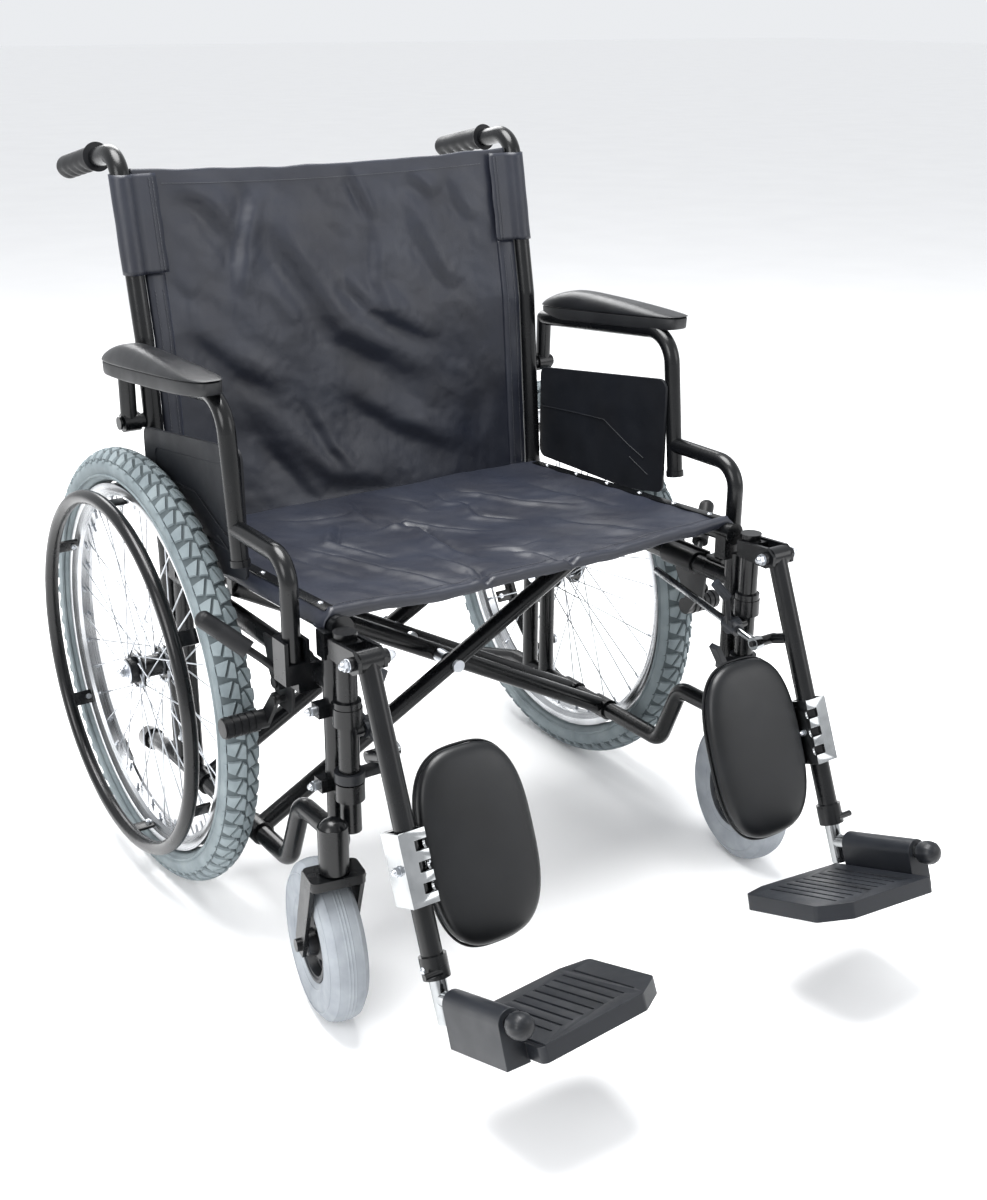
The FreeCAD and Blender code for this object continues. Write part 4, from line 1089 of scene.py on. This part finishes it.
def back_point(x, z, lift=0.0):
    """A point on the back cloth, lifted off it towards the user."""
    return at(x, cane_y(z) - 2.0 - lift - back_offset(x, z), z)


def build_back(sizes):
    """The back sling: panel, side hems, sleeves round the canes and their stitching."""
    columns, height = 200, 165
    xs = [-BACK_HALF + 2 * BACK_HALF * i / columns for i in range(columns + 1)]
    rows = []
    for j in range(height + 1):
        z = BACK_LOW + (BACK_HIGH - BACK_LOW) * j / height
        row = []
        for x in xs:
            share = x / BACK_HALF
            dip = 9.0 * (1 - share * share) * max(0.0, (z - 880) / 71.0)
            wave = 2.2 * noise.noise(Vector((x * 0.02, 4.0, 2.0))) * max(0.0, (z - 900) / 51.0)
            row.append(back_point(x, z - dip + wave))
        rows.append(row)
    top = []
    for dy, dz in ((0.6, 1.6), (2.4, 2.4), (4.6, 1.4), (5.4, -4.0), (5.2, -18.0)):
        top.append([point + Vector((0, dy * MM, dz * MM)) for point in rows[-1]])
    rows += top
    panel = cloth_piece("back_cloth", rows, 1.8, lambda a, b: (b * 0.0029, a * 0.0029))
    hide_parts("back_sling")
    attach(panel, "right_frame")
    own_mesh(panel)
    for side, sign in SIDES.items():
        body = side + "_frame"
        # sleeve: round the cane, with a flat flap lying on the panel
        rows = []
        for j in range(25):
            z = 824 + 124 * j / 24
            row = []
            flap = 34 + 0.5 * math.sin(j * 0.7)
            for x in (flap + 12, flap + 4, flap - 6, 22):
                row.append(at(sign * (CANE_X - x), cane_y(z) - 8.0 + 3.2 * (x / 46), z))
            for angle in range(-60, 241, 20):
                turn = math.radians(angle)
                reach = WRAP_R + 0.5 * noise.noise(Vector((angle * 0.02, z * 0.03, sign)))
                row.append(at(sign * (CANE_X + reach * math.sin(turn)),
                              cane_y(z) - reach * math.cos(turn), z))
            row.append(at(sign * (CANE_X - 22), cane_y(z) + 5.0, z))
            rows.append(row)
        sleeve = cloth_piece(
            side + "_back_sleeve", rows, 1.4, lambda a, b: (b * 0.004, a * 0.005), body
        )
        # side hem: a flat doubled strip down the panel's edge, behind which the cane stands
        rows = []
        for j in range(61):
            z = BACK_LOW + 2 + (822 - BACK_LOW) * j / 60
            row = []
            for x, lift in ((BACK_HALF + 1, 0.5), (BACK_HALF - 2, 3.6), (BACK_HALF - 9, 4.6),
                            (BACK_HALF - 18, 4.2), (BACK_HALF - 24, 3.4), (BACK_HALF - 27, 1.2)):
                ripple = 0.8 * noise.noise(Vector((z * 0.05, x * 0.1, sign)))
                row.append(back_point(sign * x, z, lift + ripple))
            rows.append(row)
        hem = cloth_piece(side + "_back_hem", rows, 1.2, lambda a, b: (b * 0.005, a * 0.006))
        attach(hem, body)
        front = Vector((0, -1, 0))
        for index, x in enumerate((BACK_HALF - 8, BACK_HALF - 20)):
            line = [back_point(sign * x, BACK_LOW + 8 + 325 * j / 60, 5.6) for j in range(61)]
            stitches("%s_hem_stitches_%d" % (side, index), line, front, 4.8, body)
        for index, x in enumerate((40.0, 35.0)):
            line = [at(sign * (CANE_X - x), cane_y(z) - 6.9, z)
                    for z in [828 + 4 * j for j in range(30)]]
            stitches("%s_sleeve_stitches_%d" % (side, index), line, front, 4.6, body)
    line = [back_point(x, BACK_HIGH - 15 - 9 * (1 - (x / BACK_HALF) ** 2), 1.4)
            for x in [-250 + 5 * j for j in range(101)]]
    sewn = stitches("back_top_stitches", line, Vector((0, -1, 0)), 4.8, "right_frame")
    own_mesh(sewn)


# ---- pads and grips ----------------------------------------------------------
def stacked(shape, outline, steps):
    """A closed form about Z from a list of height and radius, in mm."""
    skin(shape, [
        [Vector((radius * MM * math.cos(2 * math.pi * i / steps),
                 radius * MM * math.sin(2 * math.pi * i / steps), height * MM))
         for i in range(steps)]
        for height, radius in outline
    ])


def screw_unit():
    """Pan-head screw, 10 mm across, with a recess."""
    shape = bmesh.new()
    stacked(shape, ((0.0, 5.0), (0.9, 5.0), (2.0, 4.2), (2.6, 2.6), (2.7, 1.5), (1.9, 1.2)), 16)
    return unit_from("screw_unit", shape)


def acorn_unit():
    """Washer, hexagon and domed nut, drawn for an 8 mm thread."""
    shape = bmesh.new()
    stacked(shape, ((0.0, 8.5), (1.4, 8.5)), 24)
    stacked(shape, ((1.4, 6.6), (2.0, 7.4), (6.6, 7.4), (7.2, 6.4)), 6)
    stacked(shape, ((7.0, 5.6), (9.2, 5.3), (11.2, 4.0), (12.2, 2.0), (12.5, 0.4)), 16)
    return unit_from("acorn_unit", shape, 30)


def squared_circle(angle, power):
    """A unit circle drawn towards a square: 2 is round, and a higher power is squarer."""
    c, s = math.cos(angle), math.sin(angle)
    reach = (abs(c) ** power + abs(s) ** power) ** (-1 / power)
    return c * reach, s * reach


PAD_MIDDLE_Y, PAD_HALF_LENGTH = -107.0, 158.0
PAD_X, PAD_HALF_W = 352.0, 27.4
PAD_SEAM = 19.0              # from the pad's underside to its seam
PAD_POWER, CALF_POWER = 3.4, 2.9


def pad_floor(y):
    """Height of the arm pad's underside, in mm."""
    return 733 + (704 - 733) * (y + 266) / 318


def pad_rise(y):
    """Height of the padded dome above its seam, in mm, along the crown."""
    crown = 757.5 - 12.0 * max(0.0, (y + 25) / 77) ** 1.4
    return max(4.0, crown - pad_floor(y) - PAD_SEAM)


def ringed(shape, profile, place, around):
    """A pad from rings: a share of its outline and a height for each."""
    outline = [squared_circle(2 * math.pi * k / around, PAD_POWER) for k in range(around)]
    skin(shape, [[place(px * reach, py * reach, height) for px, py in outline]
                 for reach, height in profile])


def build_arm_pads(sizes):
    """Armrest pads: a hard moulded base with a domed grained cover above a seam."""
    for side, sign in SIDES.items():
        body = side + "_armrest"

        def on_dome(px, py, height):
            y = PAD_MIDDLE_Y + py * PAD_HALF_LENGTH
            seam = pad_floor(y) + PAD_SEAM
            return at(sign * (PAD_X + px * PAD_HALF_W), y, seam + height * pad_rise(y))

        def on_base(px, py, height):
            y = PAD_MIDDLE_Y + py * PAD_HALF_LENGTH
            return at(sign * (PAD_X + px * PAD_HALF_W), y, pad_floor(y) + height)

        shape = bmesh.new()
        reaches = (0.03, 0.2, 0.4, 0.55, 0.68, 0.78, 0.86, 0.92, 0.96, 0.985)
        profile = [(reach, (1 - reach ** 2.7) ** 0.62) for reach in reaches]
        profile += [(1.0, 0.03), (1.0, -0.01), (0.985, -0.03), (0.5, -0.03)]
        ringed(shape, profile, on_dome, 88)
        cover = piece(side + "_arm_pad_cover", shape, "arm_pad", body, side + "_armrest_pad", 70)
        smooth = cover.modifiers.new("smooth", "SUBSURF")
        smooth.levels = smooth.render_levels = 1
        shape = bmesh.new()
        profile = [(0.5, 1.0), (0.93, 1.0), (0.965, 1.6), (0.98, 3.4), (0.985, 16.2),
                   (0.975, 17.6), (0.95, 18.2), (0.5, 18.2)]
        ringed(shape, profile, on_base, 88)
        piece(side + "_arm_pad_base", shape, "arm_base", body, None, 50)


CALF_W, CALF_H = 74.0, 115.5
CALF_X, CALF_Y, CALF_Z = 213.5, 6.0, -232.0    # the pad's middle, beside a vertical leg
PIPING_DEPTH = 7.4
LEAN = math.radians(22.3)


def leg_place(sign, x, y, z):
    """A point drawn beside a vertical leg (mm, z down from the knee) on the leaning leg."""
    turn = Matrix.Rotation(-LEAN, 3, "X")
    point = turn @ Vector((0, y, z)) * MM
    return Vector((sign * x * MM, KNEE.y + point.y, KNEE.z + point.z))


def build_calf_pads(sizes):
    """Calf pads: crowned vinyl over foam, a piped edge and a flat board behind."""
    around = 72
    for side, sign in SIDES.items():
        body = side + "_leg"
        rows = []
        profile = [(0.04, -13.8), (0.2, -13.7), (0.4, -13.3), (0.6, -12.5), (0.76, -11.2),
                   (0.87, -9.4), (0.935, -7.0), (0.972, -3.6), (0.988, 0.6), (0.982, 4.6),
                   (0.96, 7.0), (0.93, 8.2), (0.6, 8.4), (0.05, 8.4)]
        for reach, depth in profile:
            row = []
            for k in range(around):
                px, pz = squared_circle(2 * math.pi * k / around, CALF_POWER)
                x = CALF_X + px * CALF_W * reach
                z = CALF_Z + pz * CALF_H * reach
                row.append(leg_place(sign, x, CALF_Y + depth, z))
            rows.append(row)
        shape = bmesh.new()
        skin(shape, rows)
        for face in list(shape.faces):
            if len(face.verts) > 4:
                bmesh.ops.poke(shape, faces=[face])
        pad = piece(side + "_calf_cushion", shape, "calf_vinyl", body, side + "_calf_pad", 70)
        smooth = pad.modifiers.new("smooth", "SUBSURF")
        smooth.levels = smooth.render_levels = 1
        shape = bmesh.new()
        rows = []
        for k in range(around * 2):
            px, pz = squared_circle(math.pi * k / around, CALF_POWER)
            middle = leg_place(sign, CALF_X + px * (CALF_W - 0.6), CALF_Y + PIPING_DEPTH,
                               CALF_Z + pz * (CALF_H - 0.6))
            heart = leg_place(sign, CALF_X, CALF_Y + PIPING_DEPTH, CALF_Z)
            out = (middle - heart).normalized()
            deep = (leg_place(sign, CALF_X, 1, 0) - leg_place(sign, CALF_X, 0, 0)).normalized()
            rows.append([
                middle + (out * math.cos(2 * math.pi * m / 8)
                          + deep * math.sin(2 * math.pi * m / 8)) * 1.7 * MM
                for m in range(8)
            ])
        skin(shape, rows, closed_along=True)
        piece(side + "_calf_piping", shape, "calf_vinyl", body)
        shape = bmesh.new()
        rows = []
        for depth, inset in ((8.0, 3.0), (13.2, 3.0), (14.0, 4.0)):
            row = []
            for k in range(around):
                px, pz = squared_circle(2 * math.pi * k / around, CALF_POWER)
                row.append(leg_place(sign, CALF_X + px * (CALF_W - inset), CALF_Y + depth,
                                     CALF_Z + pz * (CALF_H - inset)))
            rows.append(row)
        skin(shape, rows)
        piece(side + "_calf_board", shape, "hub_plastic", body)


def build_grips(sizes):
    """Push-handle grips and brake grips in moulded rubber."""
    for side, sign in SIDES.items():
        start = at(sign * CANE_X, 160, 963.8)
        end = at(sign * CANE_X, 276, 941)
        way = (end - start).normalized()
        end = end + way * 6 * MM
        count = 90
        line = [start + (end - start) * (i / count) for i in range(count + 1)]
        whole = (end - start).length / MM

        def reach(share, angle):
            length = share * whole
            flange = 3.2 * max(0.0, 1 - length / 5.0) ** 0.5
            under = max(0.0, -math.cos(angle)) ** 1.5
            wave = 0.5 - 0.5 * math.cos(2 * math.pi * (length - 8) / 23)
            fingers = 0.0 if length < 8 else -4.6 * under * (1 - wave) ** 1.3
            tip = max(0.0, 1 - (whole - length) / 9.0)
            return max(0.8, (16.0 + flange + fingers) * math.sqrt(1 - tip ** 2.4 * 0.99)) * MM

        shape = bmesh.new()
        tube(shape, line, reach, 36, up=Vector((0, 0, 1)))
        piece(side + "_handle_grip", shape, "grip_rubber", side + "_frame",
              side + "_push_grip", 50)
        x, y, z = 325.0, -345.0, 402.0
        knee = at(sign * (x + 16), y + 12, z + 27)
        tip = at(sign * (x + 68), y + 56, z + 74)
        way = (tip - knee).normalized()
        start_grip = knee + way * 20 * MM
        shape = bmesh.new()
        line = [start_grip + (tip + way * 10 * MM - start_grip) * (i / 48) for i in range(49)]
        tube(shape, line, lambda s, a: (
            11.6 - 0.9 * s - 5.5 * max(0.0, (s - 0.9) / 0.1) ** 2.2) * MM, 22)
        piece(side + "_brake_grip", shape, "grip_rubber", side + "_brake_lever", None, 60)


GUARD_LINES = (
    # stamped stiffening lines of the skirt guards: y and z in mm
    ((18, 572), (-65, 579), (-134, 583), (-188, 560)),
    ((-188, 560), (-228, 546)),
    ((-196, 541), (-238, 524)),
)


# ---- hard parts --------------------------------------------------------------
def build_hard_parts(sizes):
    """Softens the edges of the pressed and moulded parts and finishes the CAD nodes."""
    rounded = {
        "footplate": (1.3, "footplate", "plate_plastic"),
        "brake_bracket": (0.7, "frame", "bracket_steel"),
        "calf_bracket": (0.7, "leg", "chrome"),
        "legrest_latch": (0.8, "legrest_latch", "hub_plastic"),
        "skirt_guard": (0.7, "armrest", "guard_plastic"),
    }
    for side, sign in SIDES.items():
        for kind, (width, body, slot_name) in rounded.items():
            softened("%s_%s" % (side, kind), width, "%s_%s" % (side, body), slot_name,
                     "%s_%s_soft" % (side, kind))
        way = Vector((0, -math.cos(math.radians(20)), math.sin(math.radians(20))))
        start = at(sign * 306, -665, 134)
        shape = bmesh.new()
        rows = ((149.5, 8.6), (150.0, 12.6), (152.0, 13.6), (158.0, 14.4), (163.0, 14.3),
                (168.0, 12.8), (171.5, 10.2), (173.6, 6.0), (174.2, 1.5))
        line = [start + way * (along * MM) for along, radius in rows]
        radii = [radius for along, radius in rows]
        last = len(rows) - 1
        tube(shape, line, lambda share, angle: (
            radii[round(share * last)] + (0.35 if math.cos(angle * 12) > 0 else 0.0)) * MM, 48)
        piece(side + "_hinge_knob", shape, "hub_plastic", side + "_leg")
        shape = bmesh.new()
        for face in (326.9, 322.1):
            for line in GUARD_LINES:
                tube(shape, [at(sign * face, y, z) for y, z in line], 0.8 * MM, 8)
        piece(side + "_guard_creases", shape, "guard_plastic", side + "_armrest")
    slots = {row["node"]: row["material_slot"] for row in frame["record"]["subparts"]}
    for name, obj in frame["nodes"].items():
        made = finish_for(slots[name])
        for slot_item in obj.material_slots:
            slot_item.link = "OBJECT"
            slot_item.material = made


def build_fixings(sizes):
    """Acorn nuts and washers where the pieces are bolted together."""
    unit = acorn_unit()
    for side, sign in SIDES.items():
        out = Vector((sign, 0, 0))
        back = Vector((0, 1, 0))
        spots = {
            "legrest": [(at(sign * 330.5, -522, 487), out, 0.9),
                        (at(sign * 281.5, -522, 487), -out, 0.9)],
            "leg": [(leg_place(sign, 318, 0, -344), Vector((sign * 0.85, -0.5, 0)), 0.62),
                    (leg_place(sign, 324, 0, -232), out, 0.75),
                    (leg_place(sign, 289, 0, -232), -out, 0.5)],
            "frame": [(at(sign * 336, -442, 402), out, 0.7),
                      (at(sign * 336, -442, 307), out, 0.7),
                      (at(sign * 390, 0, 303), out, 0.9),
                      (at(sign * 319.8, -22, 195), out, 0.8)],
            "armrest": [(at(sign * 327, -250, 520), out, 0.4),
                        (at(sign * 327, 10, 515), out, 0.4)],
        }
        for group, rows in spots.items():
            places = [(point, aim.normalized(), back, size) for point, aim, size in rows]
            on_points("%s_%s_nuts" % (side, group), places, unit, "fastener_zinc",
                      "%s_%s" % (side, group))
    discard(unit)


EYE = (-1069.23, -1877.15, 1157.94)        # the camera's place, in mm
EYE_TURN = (-34.704, 21.235, 0.317)        # its azimuth, height and roll, in degrees
EYE_SHIFT = (-6.47 / 1200, 2.09 / 1200)


def build_stage(sizes):
    """Pale floor, soft lights and the camera."""
    shape = bmesh.new()
    bmesh.ops.create_grid(shape, x_segments=1, y_segments=1, size=40.0)
    mesh = bpy.data.meshes.new("floor")
    shape.to_mesh(mesh)
    shape.free()
    floor = put("floor", mesh)
    made, tree, shader = begin_material("painted_studio_floor", Roughness=0.8)
    tone = mottle(tree, object_coordinates(tree), 3.0, linear("#fafafa"), linear("#fdfdfd"))
    tree.links.new(tone, shader.inputs["Base Color"])
    mesh.materials.append(made)
    world = bpy.data.worlds.new("studio")
    world.use_nodes = True
    bpy.context.scene.world = world
    world.node_tree.nodes["Background"].inputs[0].default_value = linear("#f6f8fb")
    world.node_tree.nodes["Background"].inputs[1].default_value = 0.9
    bpy.context.scene.view_settings.view_transform = "Standard"
    for name, place, size, power in (
        ("overhead", (-0.3, 0.3, 3.2), 2.2, 190.0),
        ("window", (-3.2, -1.2, 2.2), 2.0, 60.0),
        ("fill", (2.2, -2.6, 1.8), 2.0, 26.0),
        ("rear", (0.8, 2.8, 2.4), 2.0, 60.0),
    ):
        lamp = bpy.data.lights.new(name, "AREA")
        lamp.shape = "DISK"
        lamp.size = size
        lamp.energy = power
        lamp_object = put(name, lamp)
        lamp_object.location = place
        aim = Vector((0, 0, 0.5)) - Vector(place)
        lamp_object.rotation_euler = aim.to_track_quat("-Z", "Y").to_euler()
    camera = bpy.data.cameras.new("camera")
    camera.sensor_width = 36.0
    camera.lens = sizes.lens
    camera.shift_x, camera.shift_y = EYE_SHIFT
    camera.clip_start = 0.05
    eye = put("camera", camera)
    azimuth, height, roll = (math.radians(angle) for angle in EYE_TURN)
    behind = Vector((math.sin(azimuth) * math.cos(height),
                     -math.cos(azimuth) * math.cos(height), math.sin(height)))
    eye.rotation_mode = "QUATERNION"
    eye.rotation_quaternion = (-behind).to_track_quat("-Z", "Y") @ Matrix.Rotation(
        roll, 3, "Z").to_quaternion()
    eye.location = at(*EYE)
    bpy.context.scene.camera = eye


# ---- add-on ------------------------------------------------------------------
class WheelchairSizes(bpy.types.PropertyGroup):
    """Sizes and choices a user may change before building."""
    ring_tube: bpy.props.FloatProperty(
        name="Push ring tube", description="Radius of the push ring's tube",
        default=0.0096, min=0.006, max=0.014, subtype="DISTANCE", unit="LENGTH",
    )
    lens: bpy.props.FloatProperty(
        name="Lens", description="Focal length of the camera", default=46.44, unit="CAMERA",
    )


def sizes_of(context):
    """The scene's sizes."""
    return context.scene.wheelchair_sizes


class WHEELCHAIR_OT_rear_wheels(bpy.types.Operator):
    """Builds tyres, rims and push rings"""
    bl_idname = "wheelchair.rear_wheels"
    bl_label = "Rear wheels"

    def execute(self, context):
        build_rear_wheels(sizes_of(context))
        return {"FINISHED"}


class WHEELCHAIR_OT_casters(bpy.types.Operator):
    """Builds the caster tyres and forks"""
    bl_idname = "wheelchair.casters"
    bl_label = "Casters"

    def execute(self, context):
        build_casters(sizes_of(context))
        return {"FINISHED"}


class WHEELCHAIR_OT_seat(bpy.types.Operator):
    """Builds the seat cloth and its screws"""
    bl_idname = "wheelchair.seat"
    bl_label = "Seat sling"

    def execute(self, context):
        build_seat(sizes_of(context))
        return {"FINISHED"}


class WHEELCHAIR_OT_back(bpy.types.Operator):
    """Builds the back cloth and its sleeves"""
    bl_idname = "wheelchair.back"
    bl_label = "Back sling"

    def execute(self, context):
        build_back(sizes_of(context))
        return {"FINISHED"}


class WHEELCHAIR_OT_arm_pads(bpy.types.Operator):
    """Builds the armrest pads"""
    bl_idname = "wheelchair.arm_pads"
    bl_label = "Arm pads"

    def execute(self, context):
        build_arm_pads(sizes_of(context))
        return {"FINISHED"}


class WHEELCHAIR_OT_calf_pads(bpy.types.Operator):
    """Builds the calf cushions"""
    bl_idname = "wheelchair.calf_pads"
    bl_label = "Calf pads"

    def execute(self, context):
        build_calf_pads(sizes_of(context))
        return {"FINISHED"}


class WHEELCHAIR_OT_grips(bpy.types.Operator):
    """Builds the handle and brake grips"""
    bl_idname = "wheelchair.grips"
    bl_label = "Grips"

    def execute(self, context):
        build_grips(sizes_of(context))
        return {"FINISHED"}


class WHEELCHAIR_OT_hard_parts(bpy.types.Operator):
    """Finishes the metal and plastic parts"""
    bl_idname = "wheelchair.hard_parts"
    bl_label = "Hard parts"

    def execute(self, context):
        build_hard_parts(sizes_of(context))
        return {"FINISHED"}


class WHEELCHAIR_OT_fixings(bpy.types.Operator):
    """Adds nuts and washers"""
    bl_idname = "wheelchair.fixings"
    bl_label = "Fixings"

    def execute(self, context):
        build_fixings(sizes_of(context))
        return {"FINISHED"}


class WHEELCHAIR_OT_stage(bpy.types.Operator):
    """Adds the floor, the lights and the camera"""
    bl_idname = "wheelchair.stage"
    bl_label = "Stage"

    def execute(self, context):
        build_stage(sizes_of(context))
        return {"FINISHED"}


OPERATORS = (
    WHEELCHAIR_OT_rear_wheels,
    WHEELCHAIR_OT_casters,
    WHEELCHAIR_OT_seat,
    WHEELCHAIR_OT_back,
    WHEELCHAIR_OT_arm_pads,
    WHEELCHAIR_OT_calf_pads,
    WHEELCHAIR_OT_grips,
    WHEELCHAIR_OT_hard_parts,
    WHEELCHAIR_OT_fixings,
    WHEELCHAIR_OT_stage,
)


class WHEELCHAIR_PT_panel(bpy.types.Panel):
    """Lists the sizes and the building steps."""
    bl_label = "Wheelchair"
    bl_space_type = "VIEW_3D"
    bl_region_type = "UI"
    bl_category = "Wheelchair"

    def draw(self, context):
        for name in ("ring_tube", "lens"):
            self.layout.prop(sizes_of(context), name)
        for operator in OPERATORS:
            self.layout.operator(operator.bl_idname)


def register():
    """Registers the classes and the scene's sizes."""
    for item in (WheelchairSizes, *OPERATORS, WHEELCHAIR_PT_panel):
        bpy.utils.register_class(item)
    bpy.types.Scene.wheelchair_sizes = bpy.props.PointerProperty(type=WheelchairSizes)


def unregister():
    """Undoes register."""
    del bpy.types.Scene.wheelchair_sizes
    for item in (WHEELCHAIR_PT_panel, *reversed(OPERATORS), WheelchairSizes):
        bpy.utils.unregister_class(item)


def main():
    """Builds every piece in order."""
    register()
    for operator in OPERATORS:
        name = operator.bl_idname.split(".")[1]
        getattr(bpy.ops.wheelchair, name)()
    bpy.context.view_layer.update()


if __name__ == "__main__":
    main()
